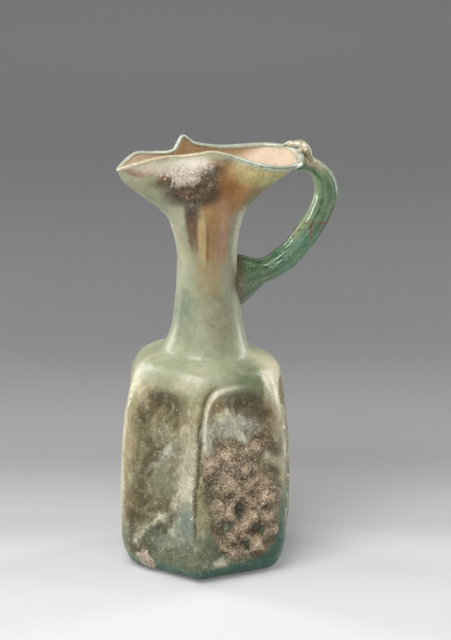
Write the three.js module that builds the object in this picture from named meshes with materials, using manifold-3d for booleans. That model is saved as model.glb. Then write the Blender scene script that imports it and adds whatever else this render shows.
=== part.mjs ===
// A six-sided blown glass jug with a pinched mouth, one applied strap handle and burial soil still on it.
// Sizes are in millimetres. +Z is up, +X points from the axis to the handle and the spout is at -X.
// The origin is the middle of the flat base.

import * as THREE from "three";
import { mergeVertices } from "three/addons/utils/BufferGeometryUtils.js";
import Module from "manifold-3d";

const wasm = await Module();
wasm.setup();

// Body: a hexagon with soft corners, turned a little against the plane of the handle
const bodyAcrossFlats = 73.1;
const bodyFootAcrossFlats = 72.7;
const bodyWaistAcrossFlats = 71.3;
const bodyTopAcrossFlats = 66.9;
const hexTurn = 13.1;
const cornerSharpness = 40;
const heelInset = 10;
const heelHeight = 16;
const widestHeight = 32;
const waistRise = 25;
const bodyTopRise = 20;
const shoulderRise = 19.8;
const shoulderDrop = 4.2;
const shoulderRadius = 31.6;
const shoulderLean = 0.06;
const cornerFade = 5;
const wall = 2.2;
const lipWall = 1.5;

// Neck and mouth
const neckFootRadius = 19.4;
const neckRadius = 13.2;
const neckRise = 40.2;
const neckShift = 0.6;
const throatRadius = 16;
const throatRise = 18;
const mouthRise = 27;
const mouthLength = 82;
const pinchRadius = 21;
const mouthFlare = 1.5;
const spoutFullness = 1.12;
const spoutBelly = 0.5;
const coilRadius = 1.4;
const coilThinShare = 0.68;
const coilThickestAt = -35;

// Sunk panels, one on each face, with arched heads
const panelHalfWidth = 15.8;
const panelFoot = 8;
const panelSpring = 66;
const panelArch = 21;
const panelDepth = 2;
const panelEdge = 4.5;

// Relief blown into the panels: a lattice on every second face, a slanting rib over a lozenge on the others
const reliefHeight = 1.5;
const latticeWidth = 17;
const latticeHeight = 16.2;
const latticeStart = 16.9;
const latticeSteps = 6;
const ridgeSharpness = 1.6;
const ribFoot = [-17, 41.2];
const ribHead = [14.2, 70.9];
const ribWidth = 2.6;
const lozengeHeight = 14.2;
const lozengeHalfWidth = 14.2;
const lozengeHalfHeight = 13.5;
const lozengeBand = 0.2;
const knobShare = 0.36;

// Handle: a strap drawn from the neck up to the mouth
const handleReach = 53.6;
const handleFootDrop = 10.5;
const handleThickness = 10.6;
const handleHeadThickness = 6.6;
const handleWidth = 12.4;
const handleHeadWidth = 10.4;
const handleFootSpread = 7.5;
const handleTuck = 6;
const handleFootRise = 3;
const handleHeadEnd = 1;
const handleHeadRise = 1.4;

// Thumb rest: the end of the trail folded over the lip
const thumbRestHeight = 4.2;
const thumbRestRadius = 1.6;
const thumbRestSpan = 24;
const thumbRestLean = 0.6;

// Soil: each cake has half sizes in angle and along its surface, and waves of its edge (size, count, shift)
const soilThickness = 1.3;
const soilCutDepth = 1;
const soilCutHeight = 4;
const latticeSoilFoot = 10;
const latticeSoilTop = 63;
const latticeSoilHalfAngle = 0.47;
const latticeSoilWaves = [[0.08, 3, 0.5], [0.05, 5, 2], [0.04, 8, 1]];
const mouthSoilFacing = 249;
const mouthSoilMiddle = 0.62;
const mouthSoilHalf = [0.62, 0.3];
const mouthSoilWaves = [[0.1, 2, 1], [0.07, 5, 0.4], [0.04, 7, 3]];
const heelSoilTurn = -0.24;
const heelSoilMiddle = 0.52;
const heelSoilHalf = [0.12, 0.25];
const heelSoilWaves = [[0.12, 3, 0], [0.06, 5, 1]];

// Every piece keeps this gap to the piece that it sits on
const clearance = 0.3;

// The lip, at every 15 degrees round from the handle: x, y and height over the lip's level, as shares of
// the mouth's length
const lipOutline = [
  [0.5195, -0.0122, -0.0195],
  [0.5024, 0.0793, -0.0098],
  [0.4488, 0.1659, -0.0024],
  [0.3634, 0.2146, 0.0024],
  [0.2622, 0.2195, 0.0073],
  [0.161, 0.1951, 0.0122],
  [0.0671, 0.1707, 0.0268],
  [-0.0366, 0.1378, 0.0561],
  [-0.1049, 0.1122, 0.1012],
  [-0.1659, 0.0805, 0.0341],
  [-0.2622, 0.0976, 0.0232],
  [-0.3659, 0.0927, 0.0183],
  [-0.4805, 0, -0.044],
  [-0.4146, -0.0927, -0.0024],
  [-0.3171, -0.0951, 0.0244],
  [-0.2256, -0.0756, 0.0329],
  [-0.1341, -0.0805, 0.0354],
  [-0.0549, -0.0927, 0.0439],
  [0.0244, -0.0976, 0.05],
  [0.1159, -0.122, 0.0293],
  [0.2012, -0.1659, 0.0024],
  [0.2988, -0.2146, -0.0207],
  [0.4024, -0.2049, -0.0341],
  [0.4878, -0.1195, -0.0329],
];

// Heights that follow from the rises
const waistHeight = widestHeight + waistRise;
const bodyTopHeight = waistHeight + bodyTopRise;
const neckFootHeight = bodyTopHeight + shoulderRise;
const neckHeight = neckFootHeight + neckRise;
const throatHeight = neckHeight + throatRise;
const lipHeight = throatHeight + mouthRise;

const faceAngle = 60;
const halfFace = THREE.MathUtils.degToRad(faceAngle / 2);

// Between its named sizes the side bends through these places: shares of the way in and of the way up
const shoulderTurn = [0.42, 0.654];
const shoulderFall = [0.55, 0.527];
const neckBend = [0.565, 0.216];
const neckTaper = [0.823, 0.49];
const throatFlare = [0.3, 0.56];

// The shoulder is round from this share of its rise on, at this share of the corner radius
const roundFrom = 0.877;
const roundSection = 0.92;

const toCorner = (acrossFlats) => acrossFlats / 2 / Math.cos(halfFace);
const mix = THREE.MathUtils.lerp;
const smooth = (from, to, x) => THREE.MathUtils.smoothstep(x, from, to);
const hump = (from, full, still, to, x) => smooth(from, full, x) * (1 - smooth(still, to, x));

// The side of the jug from heel to throat, as corner radius and height
const foot = new THREE.Vector2(toCorner(bodyFootAcrossFlats), heelHeight);
const widest = new THREE.Vector2(toCorner(bodyAcrossFlats), widestHeight);
const waist = new THREE.Vector2(toCorner(bodyWaistAcrossFlats), waistHeight);
const bodyTop = new THREE.Vector2(toCorner(bodyTopAcrossFlats), bodyTopHeight);
const shoulder = new THREE.Vector2(shoulderRadius, neckFootHeight - shoulderDrop);
const neckFoot = new THREE.Vector2(neckFootRadius, neckFootHeight);
const neck = new THREE.Vector2(neckRadius, neckHeight);
const throat = new THREE.Vector2(throatRadius, throatHeight);

function between(from, to, [inward, upward]) {
  return new THREE.Vector2(mix(from.x, to.x, inward), mix(from.y, to.y, upward));
}

const lowerSide = [foot, widest, waist, bodyTop];
const upperSide = [
  between(bodyTop, shoulder, shoulderTurn),
  shoulder,
  between(shoulder, neckFoot, shoulderFall),
  neckFoot,
  between(neckFoot, neck, neckBend),
  between(neckFoot, neck, neckTaper),
  neck,
  between(neck, throat, throatFlare),
  throat,
];
const sideProfile = new THREE.SplineCurve([...lowerSide, ...upperSide]);
const [, , , , neckBendPoint, neckTaperPoint] = upperSide;

// Distance from the axis to a hexagon of corner radius 1 with soft corners
function hexagon(angle) {
  const apothem = Math.cos(halfFace);
  let sum = 0;
  for (let face = 0; face < 6; face += 1) {
    const facing = THREE.MathUtils.degToRad(hexTurn + faceAngle * (face + 0.5));
    sum += Math.max(0, Math.cos(angle - facing)) ** cornerSharpness;
  }
  return apothem / sum ** (1 / cornerSharpness);
}

// Angle from the middle of the nearest face
function offFace(angle) {
  const turned = THREE.MathUtils.radToDeg(angle) - hexTurn;
  const within = ((turned % faceAngle) + faceAngle) % faceAngle;
  return THREE.MathUtils.degToRad(within - faceAngle / 2);
}

// 1 in the sunk field of a face, 0 on its rounded frame
function inPanel(angle, radius, height) {
  const across = radius * Math.cos(halfFace) * Math.tan(offFace(angle));
  const archRadius = Math.hypot(across / panelHalfWidth, Math.max(0, height - panelSpring) / panelArch);
  const inArch = (1 - archRadius) * Math.min(panelHalfWidth, panelArch);
  return smooth(0, panelEdge, Math.min(inArch, height - panelFoot));
}

// 1 on the crossing ridges of the lattice, 0 in the middle of its hollows
function latticeRidges(across, height) {
  const rise = (height - latticeStart) / latticeHeight;
  const wave = (turns) => (0.5 - 0.5 * Math.cos(2 * Math.PI * turns)) ** ridgeSharpness;
  return Math.max(wave(across / latticeWidth + rise), wave(across / latticeWidth - rise));
}

// 1 on the slanting rib, on the lozenge's outline and on the knob in its middle
function lozengeRidges(across, height) {
  const place = new THREE.Vector3(across, height, 0);
  const rib = new THREE.Line3(new THREE.Vector3(...ribFoot, 0), new THREE.Vector3(...ribHead, 0));
  const nearest = rib.closestPointToPoint(place, true, new THREE.Vector3());
  const away = Math.abs(across) / lozengeHalfWidth + Math.abs(height - lozengeHeight) / lozengeHalfHeight;
  const bump = (distance, width) => Math.exp(-((distance / width) ** 2));
  const ribs = Math.max(bump(place.distanceTo(nearest), ribWidth), bump(away - 1, lozengeBand));
  return Math.max(ribs, bump(away, knobShare));
}

// How far the blown relief stands out at a point of the body
function relief(angle, point) {
  const across = (bodyAcrossFlats / 2) * Math.tan(offFace(angle));
  const face = Math.floor((THREE.MathUtils.radToDeg(angle) - hexTurn) / faceAngle);
  const ridges = face % 2 === 0 ? latticeRidges(across, point.z) : lozengeRidges(across, point.z);
  const corner = Math.hypot(point.x, point.y) / hexagon(angle);
  return reliefHeight * ridges * inPanel(angle, corner, point.z);
}

// A point of the wall between heel and throat
function sidePoint(angle, along) {
  const profile = sideProfile.getPoint(along);
  const round = smooth(bodyTopHeight - cornerFade, mix(bodyTopHeight, neckFootHeight, roundFrom), profile.y);
  const section = mix(hexagon(angle), roundSection, round);
  const body = smooth(neckFootRadius, shoulderRadius, profile.x);
  const sink = panelDepth * inPanel(angle, profile.x, profile.y);
  const radius = profile.x * mix(1, section, body) - sink;
  const onNeck = hump(neckFoot.y, neckBendPoint.y, neck.y, throat.y, profile.y);
  const onShoulder = hump(bodyTop.y, neckFoot.y, neckFoot.y, neckTaperPoint.y, profile.y);
  const x = radius * Math.cos(angle) + neckShift * onNeck;
  return new THREE.Vector3(x, radius * Math.sin(angle), profile.y - shoulderLean * x * onShoulder);
}

// A point of the flat base and the heel that rounds up into the side
function heelPoint(angle, along) {
  const turn = (along * Math.PI) / 2;
  const corner = toCorner(bodyFootAcrossFlats) - heelInset + heelInset * Math.sin(turn);
  const height = heelHeight * (1 - Math.cos(turn));
  const radius = corner * hexagon(angle) - panelDepth * inPanel(angle, corner, height);
  return new THREE.Vector3(radius * Math.cos(angle), radius * Math.sin(angle), height);
}

const lipPoints = lipOutline.map((share) => {
  const point = new THREE.Vector3(...share).multiplyScalar(mouthLength);
  return point.setZ(point.z + lipHeight);
});
const lipCurve = new THREE.CatmullRomCurve3(lipPoints, true, "catmullrom", 0.5);

function lip(angle) {
  const turns = angle / (2 * Math.PI);
  return lipCurve.getPoint(turns - Math.floor(turns));
}

// A point of the mouth, from the throat, along 0, to the lip, along 1
function mouthPoint(angle, along) {
  const edge = lip(angle);
  const reach = Math.max(Math.hypot(edge.x, edge.y), pinchRadius);
  const spoutward = smooth(0.2, 0.9, -Math.cos(angle));
  const full = mix(along, smooth(0, 1, Math.min(1, spoutFullness * along)), spoutBelly);
  const spread = mix(along ** mouthFlare, full, spoutward);
  const radius = mix(throatRadius, reach, spread);
  const pull = along ** 3;
  const x = radius * Math.cos(angle) + pull * (edge.x - reach * Math.cos(angle));
  const y = radius * Math.sin(angle) + pull * (edge.y - reach * Math.sin(angle));
  return new THREE.Vector3(x, y, mix(throatHeight, edge.z, along));
}

// A surface point moved off along the outward normal
function offset(surface, angle, along, distance) {
  const step = 1e-3;
  const before = Math.max(0, along - step);
  const after = Math.min(1, along + step);
  const round = surface(angle + step, along).sub(surface(angle - step, along));
  const up = surface(angle, after).sub(surface(angle, before));
  return surface(angle, along).addScaledVector(round.cross(up).normalize(), distance);
}

// Where a height lies along the side profile, found by halving
function alongAt(height) {
  let low = 0;
  let high = 1;
  const halvings = 40;
  for (let i = 0; i < halvings; i += 1) {
    const half = (low + high) / 2;
    if (sideProfile.getPoint(half).y < height) {
      low = half;
    } else {
      high = half;
    }
  }
  return low;
}

// Column angles over the body: in step with the lattice, with one on each corner and one beside it.
// The neck, the mouth and the hollow use every second one.
const columns = [];
const halfFaceWidth = (bodyAcrossFlats / 2) * Math.tan(halfFace);
const besideCorner = 0.92;
for (let face = 0; face < 6; face += 1) {
  const facing = THREE.MathUtils.degToRad(hexTurn + faceAngle * (face + 0.5));
  const places = [-halfFaceWidth, -halfFaceWidth * besideCorner];
  for (let step = -latticeSteps; step <= latticeSteps; step += 1) {
    places.push((step * latticeWidth) / latticeSteps);
  }
  places.push(halfFaceWidth * besideCorner);
  places.forEach((across) => columns.push(facing + Math.atan(across / (bodyAcrossFlats / 2))));
}
const everySecond = columns.filter((_, i) => i % 2 === 0);

function steps(surface, from, to, count, angles) {
  return Array.from({ length: count }, (_, i) => [surface, mix(from, to, i / count), angles]);
}

// Rings over the spans of the upper side, between the arches of the panels and the throat
function upperRings(perSpan) {
  const spans = lowerSide.length + upperSide.length - 1;
  return perSpan.flatMap((count, i) => {
    const span = lowerSide.length + i;
    return steps(sidePoint, span / spans, (span + 1) / spans, count, everySecond);
  });
}

// The rings of the outside from heel to lip: a surface, a place along it and the columns used there
function outerRings() {
  const rowRise = latticeHeight / latticeSteps;
  const panelTop = panelSpring + panelArch;
  const rings = [...steps(heelPoint, 0, 1, 6, columns), [sidePoint, 0, columns]];
  for (let height = latticeStart + rowRise; height < panelTop; height += rowRise) {
    rings.push([sidePoint, alongAt(height), columns]);
  }
  rings.push(...upperRings([1, 1, 1, 1, 2, 2, 2, 1]));
  rings.push(...steps(mouthPoint, 0, 1, 8, everySecond), [mouthPoint, 1, everySecond]);
  return rings;
}

function innerRings() {
  const arch = alongAt(bodyTopHeight);
  const top = alongAt(panelSpring + panelArch);
  return [
    ...steps(heelPoint, 0, 1, 2, everySecond),
    ...steps(sidePoint, 0, arch, 6, everySecond),
    ...steps(sidePoint, arch, top, 3, everySecond),
    ...upperRings([1, 1, 1, 1, 1, 1, 1, 1]),
    ...steps(mouthPoint, 0, 1, 5, everySecond),
    [mouthPoint, 1, everySecond],
  ];
}

function ringOf([surface, along, angles], distance) {
  return angles.map((angle) => offset(surface, angle, along, distance));
}

// A ring of the outside, with the panels' relief standing out
function reliefRing([surface, along, angles], distance) {
  return angles.map((angle) => {
    const standsOut = surface === mouthPoint ? 0 : relief(angle, surface(angle, along));
    return Object.assign(offset(surface, angle, along, distance + standsOut), { standsOut });
  });
}

// Triangles between two rings; the second may have half the points of the first. Squares are split along
// the ridges and hollows of the relief.
function bridge(index, points, low, lowCount, high, highCount) {
  const fold = lowCount / highCount;
  const slope = (from, to) => Math.abs((points[from].standsOut ?? 0) - (points[to].standsOut ?? 0));
  for (let j = 0; j < highCount; j += 1) {
    const a = low + j * fold;
    const b = low + (((j + 1) * fold) % lowCount);
    const c = high + ((j + 1) % highCount);
    const d = high + j;
    if (fold === 2) {
      index.push(a, a + 1, d, a + 1, c, d, a + 1, b, c);
    } else if (slope(a, c) < slope(b, d)) {
      index.push(a, b, c, a, c, d);
    } else {
      index.push(a, b, d, b, c, d);
    }
  }
}

// A closed skin over rings of points; the first and last rings close on a middle point, or on each other
function loft(rings, closeOnItself = false) {
  const points = rings.flat();
  const index = [];
  const starts = rings.map((_, i) => rings.slice(0, i).flat().length);
  for (let i = 1; i < rings.length; i += 1) {
    bridge(index, points, starts[i - 1], rings[i - 1].length, starts[i], rings[i].length);
  }
  const first = rings[0];
  const last = rings[rings.length - 1];
  const lastStart = starts[rings.length - 1];
  if (closeOnItself) {
    bridge(index, points, lastStart, last.length, 0, first.length);
  } else {
    const firstMiddle = points.push(middleOf(first)) - 1;
    const lastMiddle = points.push(middleOf(last)) - 1;
    first.forEach((_, j) => index.push(firstMiddle, (j + 1) % first.length, j));
    last.forEach((_, j) => index.push(lastMiddle, lastStart + j, lastStart + ((j + 1) % last.length)));
  }
  const geometry = new THREE.BufferGeometry();
  geometry.setAttribute("position", new THREE.Float32BufferAttribute(points.flatMap((p) => p.toArray()), 3));
  geometry.setIndex(index);
  return geometry;
}

function middleOf(ring) {
  const sum = new THREE.Vector3();
  ring.forEach((p) => sum.add(p));
  return sum.divideScalar(ring.length);
}

function toSolid(geometry) {
  const merged = mergeVertices(geometry, 1e-4);
  const mesh = new wasm.Mesh({
    numProp: 3,
    vertProperties: new Float32Array(merged.attributes.position.array),
    triVerts: new Uint32Array(merged.index.array),
  });
  return new wasm.Manifold(mesh);
}

// The largest single body of a solid, as a geometry
function toGeometry(solid) {
  const bodies = solid.decompose();
  bodies.sort((a, b) => b.volume() - a.volume());
  const mesh = bodies[0].getMesh();
  const geometry = new THREE.BufferGeometry();
  geometry.setAttribute("position", new THREE.Float32BufferAttribute(mesh.vertProperties, 3));
  geometry.setIndex(Array.from(mesh.triVerts));
  return geometry;
}

// The jug filled to the brim and grown, to cut what is seated on it
function filledJug(grown) {
  const rings = outerRings().map((ring) => reliefRing(ring, grown));
  rings.push(ringOf([mouthPoint, 1, everySecond], -lipWall - grown));
  return toSolid(loft(rings));
}

// The glass wall with its open hollow
function jugWall() {
  const outer = outerRings().map((ring) => reliefRing(ring, 0));
  const thickness = ([surface, along]) => (surface === mouthPoint ? mix(wall, lipWall, along) : wall);
  const inner = innerRings().map((ring) => ringOf(ring, -thickness(ring))).reverse();
  return toSolid(loft([...outer, ...inner]));
}

// The middle line of the coil that rounds off the lip
function coilMiddle(angle) {
  return offset(mouthPoint, angle, 1, -lipWall / 2);
}

function lipCoil(grown) {
  const rows = 96;
  const sides = 8;
  const step = 0.01;
  const up = new THREE.Vector3(0, 0, 1);
  const rings = [];
  for (let i = 0; i < rows; i += 1) {
    const angle = (2 * Math.PI * i) / rows;
    const along = coilMiddle(angle + step).sub(coilMiddle(angle - step)).normalize();
    const outward = along.clone().cross(up).normalize();
    const upward = outward.clone().cross(along);
    const thick = 0.5 + 0.5 * Math.cos(angle - THREE.MathUtils.degToRad(coilThickestAt));
    const radius = coilRadius * mix(coilThinShare, 1, thick) + grown;
    const ring = [];
    for (let side = 0; side < sides; side += 1) {
      const turn = (2 * Math.PI * side) / sides;
      const point = coilMiddle(angle);
      point.addScaledVector(outward, radius * Math.cos(turn));
      point.addScaledVector(upward, -radius * Math.sin(turn));
      ring.push(point);
    }
    rings.push(ring);
  }
  return toSolid(loft(rings, true));
}

// A strap or trail of oval section along a line of points
function trail(points, halfThickness, halfWidth, sideways, rows, sides) {
  const line = new THREE.CatmullRomCurve3(points, false, "catmullrom", 0.5);
  const rings = [];
  for (let i = 0; i <= rows; i += 1) {
    const t = i / rows;
    const along = line.getTangent(t);
    const wide = sideways.clone().addScaledVector(along, -sideways.dot(along)).normalize();
    const thick = wide.clone().cross(along);
    const ring = [];
    for (let side = 0; side < sides; side += 1) {
      const turn = (2 * Math.PI * side) / sides;
      const point = line.getPoint(t);
      point.addScaledVector(thick, halfThickness(t) * Math.cos(turn));
      point.addScaledVector(wide, halfWidth(t) * Math.sin(turn));
      ring.push(point);
    }
    rings.push(ring);
  }
  return toSolid(loft(rings));
}

// The strap's middle line: shares of the way from the neck out to the reach, and from the foot up to the head
const handleShape = [
  [0.31, 0.075],
  [0.45, 0.125],
  [0.582, 0.194],
  [0.716, 0.298],
  [0.836, 0.42],
  [0.935, 0.549],
  [0.993, 0.676],
  [1, 0.784],
  [0.96, 0.884],
  [0.871, 0.963],
];

// Where along the strap it narrows to its head, and how far its foot spreads
const narrowingFrom = 0.6;
const narrowingTo = 0.9;
const spreadTo = 0.09;

// How finely the strap is drawn: rings along it, and sides round each
const strapRings = 34;
const strapSides = 14;

function handleStrap(grown) {
  const head = coilMiddle(0);
  head.z -= coilRadius + handleHeadThickness / 2 - handleHeadRise;
  const footHeight = neckHeight - handleFootDrop;
  const points = [new THREE.Vector3(neckRadius / 2, 0, footHeight + handleFootRise)];
  for (const [out, up] of handleShape) {
    points.push(new THREE.Vector3(mix(neckRadius, handleReach, out), 0, mix(footHeight, head.z, up)));
  }
  points.push(new THREE.Vector3(head.x + handleHeadEnd, head.y, head.z));
  points.push(new THREE.Vector3(head.x - handleTuck, head.y, head.z));
  const spread = (t) => handleFootSpread * (1 - smooth(0, spreadTo, t));
  const narrowing = (t) => smooth(narrowingFrom, narrowingTo, t);
  const thickness = (t) => mix(handleThickness, handleHeadThickness, narrowing(t));
  const halfThickness = (t) => thickness(t) / 2 + spread(t) + grown;
  const halfWidth = (t) => mix(handleWidth, handleHeadWidth, narrowing(t)) / 2 + grown;
  return trail(points, halfThickness, halfWidth, new THREE.Vector3(0, 1, 0), strapRings, strapSides);
}

// The thumb rest's line: shares of its span round the lip and of its height
const thumbRestShape = [
  [0.1, 1],
  [0.5, 0.7],
  [0.85, 0.6],
  [1.15, 0],
];
const thumbRestFlatness = 1.3;
const thumbRestRings = 20;
const thumbRestSides = 12;

// Its folds: the radius where it is thinnest, what each swelling adds, both as shares, and how many there are
const foldThinnest = 0.8;
const foldSwelling = 0.25;
const foldCount = 3;

function thumbRestTrail() {
  const span = THREE.MathUtils.degToRad(thumbRestSpan);
  const points = [coilMiddle(0).add(new THREE.Vector3(coilRadius, 0, -coilRadius))];
  for (const [round, up] of thumbRestShape) {
    const lean = thumbRestLean * (1 - Math.min(1, round));
    points.push(coilMiddle(span * round).add(new THREE.Vector3(lean, 0, thumbRestHeight * up)));
  }
  const folds = (t) => foldThinnest + foldSwelling * Math.sin(foldCount * Math.PI * t) ** 2;
  const halfThickness = (t) => thumbRestRadius * folds(t);
  const halfWidth = (t) => thumbRestFlatness * halfThickness(t);
  return trail(points, halfThickness, halfWidth, new THREE.Vector3(1, 0, 0), thumbRestRings, thumbRestSides);
}

// A point of the body by its height, as a share of the neck foot's
function bodyPoint(angle, share) {
  const height = share * neckFootHeight;
  if (height < heelHeight) {
    return heelPoint(angle, Math.acos(1 - height / heelHeight) / (Math.PI / 2));
  }
  return sidePoint(angle, alongAt(height));
}

// The space over part of a surface inside a wavy edge; middle and half sizes in angle and along
function soilSpace(surface, middle, half, waves) {
  const turns = 28;
  const bands = [0.35, 0.65, 0.88, 1];
  const at = (turn, band, distance) => {
    const wavy = waves.reduce((sum, [size, count, shift]) => sum + size * Math.sin(count * turn + shift), 1);
    const angle = middle[0] + half[0] * band * wavy * Math.cos(turn);
    const along = middle[1] + half[1] * band * wavy * Math.sin(turn);
    return offset(surface, angle, THREE.MathUtils.clamp(along, 0, 1), distance);
  };
  const ring = (band, distance) => {
    return Array.from({ length: turns }, (_, i) => at((2 * Math.PI * i) / turns, band, distance));
  };
  const under = bands.map((band) => ring(band, -soilCutDepth));
  const over = bands.map((band) => ring(band, soilCutHeight)).reverse();
  return toSolid(loft([...under, ...over]));
}

const faceMiddle = (face) => THREE.MathUtils.degToRad(hexTurn + faceAngle * (face + 0.5));
const latticeFace = -2;
const lozengeFace = -3;

const jugGrown = filledJug(clearance);
const jugSoiled = filledJug(clearance + soilThickness);
const coilGrown = lipCoil(clearance);

function seated(solid) {
  return solid.subtract(jugGrown).subtract(coilGrown);
}

// A cake of soil is a skin of even thickness over the jug
function soilOnLattice() {
  const low = latticeSoilFoot / neckFootHeight;
  const high = latticeSoilTop / neckFootHeight;
  const middle = [faceMiddle(latticeFace), (low + high) / 2];
  const half = [latticeSoilHalfAngle, (high - low) / 2];
  return soilSpace(bodyPoint, middle, half, latticeSoilWaves).intersect(jugSoiled);
}

function soilOnMouth() {
  const middle = [THREE.MathUtils.degToRad(mouthSoilFacing), mouthSoilMiddle];
  return soilSpace(mouthPoint, middle, mouthSoilHalf, mouthSoilWaves).intersect(jugSoiled);
}

function soilOnHeel() {
  const middle = [faceMiddle(lozengeFace) + heelSoilTurn, heelSoilMiddle];
  return soilSpace(heelPoint, middle, heelSoilHalf, heelSoilWaves).intersect(jugSoiled);
}

const glassGreen = new THREE.MeshStandardMaterial({ color: 0x9fae8c, roughness: 0.45, metalness: 0 });
const handleGreen = new THREE.MeshStandardMaterial({ color: 0x6f9c7c, roughness: 0.25, metalness: 0 });
const lipGreen = new THREE.MeshStandardMaterial({ color: 0xa9bfae, roughness: 0.3, metalness: 0 });
const soilBrown = new THREE.MeshStandardMaterial({ color: 0xa8866c, roughness: 0.95, metalness: 0 });

const jug = new THREE.Group();

function add(name, solid, material) {
  const mesh = new THREE.Mesh(toGeometry(solid), material);
  mesh.name = name;
  jug.add(mesh);
}

add("vessel", jugWall().subtract(coilGrown), glassGreen);
add("rim_coil", lipCoil(0), lipGreen);
add("handle", seated(handleStrap(0)), handleGreen);
add("thumb_rest", seated(thumbRestTrail()).subtract(handleStrap(clearance)), handleGreen);
add("soil_on_lattice_panel", seated(soilOnLattice()), soilBrown);
add("soil_on_mouth", seated(soilOnMouth()), soilBrown);
add("soil_on_heel", seated(soilOnHeel()), soilBrown);

export default jug;
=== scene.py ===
# A six-sided blown glass jug with a pinched mouth, a strap handle and burial soil still on it.
# The frame is the jug's own: origin in the middle of the base, +Z up, +X to the handle, spout at -X.

import math
from functools import partialmethod

import bpy
import numpy as np
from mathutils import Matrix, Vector


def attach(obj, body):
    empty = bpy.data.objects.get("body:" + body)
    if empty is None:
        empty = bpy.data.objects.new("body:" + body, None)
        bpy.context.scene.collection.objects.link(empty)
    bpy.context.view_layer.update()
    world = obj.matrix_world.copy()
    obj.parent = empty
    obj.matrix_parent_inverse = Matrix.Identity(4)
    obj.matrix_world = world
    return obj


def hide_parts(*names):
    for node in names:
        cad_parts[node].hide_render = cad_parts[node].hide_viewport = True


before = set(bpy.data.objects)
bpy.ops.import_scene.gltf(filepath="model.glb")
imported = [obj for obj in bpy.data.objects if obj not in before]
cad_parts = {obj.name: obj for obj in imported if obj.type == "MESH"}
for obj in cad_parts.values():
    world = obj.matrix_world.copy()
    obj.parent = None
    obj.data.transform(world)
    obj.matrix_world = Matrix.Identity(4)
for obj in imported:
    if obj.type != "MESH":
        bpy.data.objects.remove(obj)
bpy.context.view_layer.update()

MM = 0.001

# Body of the jug, in millimetres, as the solids have it
BODY_ACROSS = 73.1
FOOT_ACROSS = 72.7
WAIST_ACROSS = 71.3
TOP_ACROSS = 66.9
HEX_TURN = 13.1
CORNER_SHARPNESS = 40
HEEL_INSET = 10.0
HEEL_HEIGHT = 16.0
WIDEST_HEIGHT = 32.0
WAIST_HEIGHT = 57.0
BODY_TOP_HEIGHT = 77.0
SHOULDER_RADIUS = 31.6
SHOULDER_HEIGHT = 92.6
SHOULDER_LEAN = 0.06
WALL = 2.2
LIP_WALL = 1.5

# Neck and mouth
NECK_FOOT_RADIUS = 19.4
NECK_FOOT_HEIGHT = 96.8
NECK_RADIUS = 13.2
NECK_HEIGHT = 137.0
NECK_SHIFT = 0.6
THROAT_RADIUS = 16.0
THROAT_HEIGHT = 155.0
LIP_HEIGHT = 182.0
PINCH_RADIUS = 21.0
MOUTH_FLARE = 1.5
SPOUT_FULLNESS = 1.12
SPOUT_BELLY = 0.5
COIL_RADIUS = 1.45
COIL_THIN_SHARE = 0.66
COIL_THICKEST_AT = -35.0
COIL_CREAM_AT = 232
COIL_GROOVE_WIDTH = 0.45
COIL_GROOVE_DEPTH = 0.3
COIL_STEPS = 400
COIL_SIDES = 20
COIL_LOOK_ROUND = 0.01

# Sunk panels
PANEL_HALF_WIDTH = 15.8
PANEL_FOOT = 8.0
PANEL_SPRING = 66.0
PANEL_ARCH = 21.0
PANEL_DEPTH = 2.0
PANEL_EDGE = 5.0
LATTICE_FACE = 4
LOZENGE_FACE = 3

# The lip, at every 15 degrees round from the handle: x, y and height over the lip's level
LIP_OUTLINE = [
    (42.6, -1, -1.6), (41.2, 6.5, -0.8), (36.8, 13.6, -0.2), (29.8, 17.6, 0.2), (21.5, 18, 0.6),
    (13.2, 16, 1), (5.5, 14, 2.2), (-3, 11.3, 4.6), (-8.6, 9.2, 8.3), (-13.6, 6.6, 2.8),
    (-21.5, 8, 1.9), (-30, 7.6, 1.5), (-38.8, 0, -3.4), (-34, -7.6, -0.2), (-26, -7.8, 2),
    (-18.5, -6.2, 2.7), (-11, -6.6, 2.9), (-4.5, -7.6, 3.6), (2, -8, 4.1), (9.5, -10, 2.4),
    (16.5, -13.6, 0.2), (24.5, -17.6, -1.7), (33, -16.8, -2.8), (40, -9.8, -2.7),
]

# Seeds of the noises, one for each kind of wander or crust
WANDER_SEED = 3
DIMPLE_SEED = 9
COIL_SEED = 21
SOIL_EDGE_SEED = 31
SOIL_GRIT_SEED = 41
SOIL_PATCH_SEED = 47
MOUTH_GRIT_SEED = 51
MOUTH_PATCH_SEED = 55
HEEL_GRIT_SEED = 61
STROKE_SEED = 77
CLUSTER_SEED = 91
FILM_SEED = 100
FILM_SEED_STEP = 11

# Camera, as the photograph was taken
VIEW_AZIMUTH = -12.0
VIEW_ELEVATION = 17.5
VIEW_DISTANCE = 1150.0
VIEW_AIM_HEIGHT = 95.0
VIEW_AIM_RIGHT = 8.6
VIEW_AIM_UP = 13.5
LENS = 147.0
SENSOR = 36.0


def smooth(low, high, x):
    t = np.clip((np.asarray(x, float) - low) / (high - low), 0, 1)
    return t * t * (3 - 2 * t)


def mix(a, b, t):
    return a + (b - a) * t


def hump(away, width):
    """1 on the middle of a rounded ridge or groove, fading to 0 beyond its half width."""
    return np.exp(-((away / width) ** 2))


def srgb(red, green, blue):
    """A colour from its 0 to 255 values, as Blender's sockets want it."""
    out = []
    for value in (red, green, blue):
        c = value / 255
        out.append(c / 12.92 if c <= 0.04045 else ((c + 0.055) / 1.055) ** 2.4)
    return (*out, 1.0)


HASH_STEPS = np.array([127.1, 311.7, 74.7])
HASH_SEED = 17.17
HASH_SCALE = 43758.5453


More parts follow.
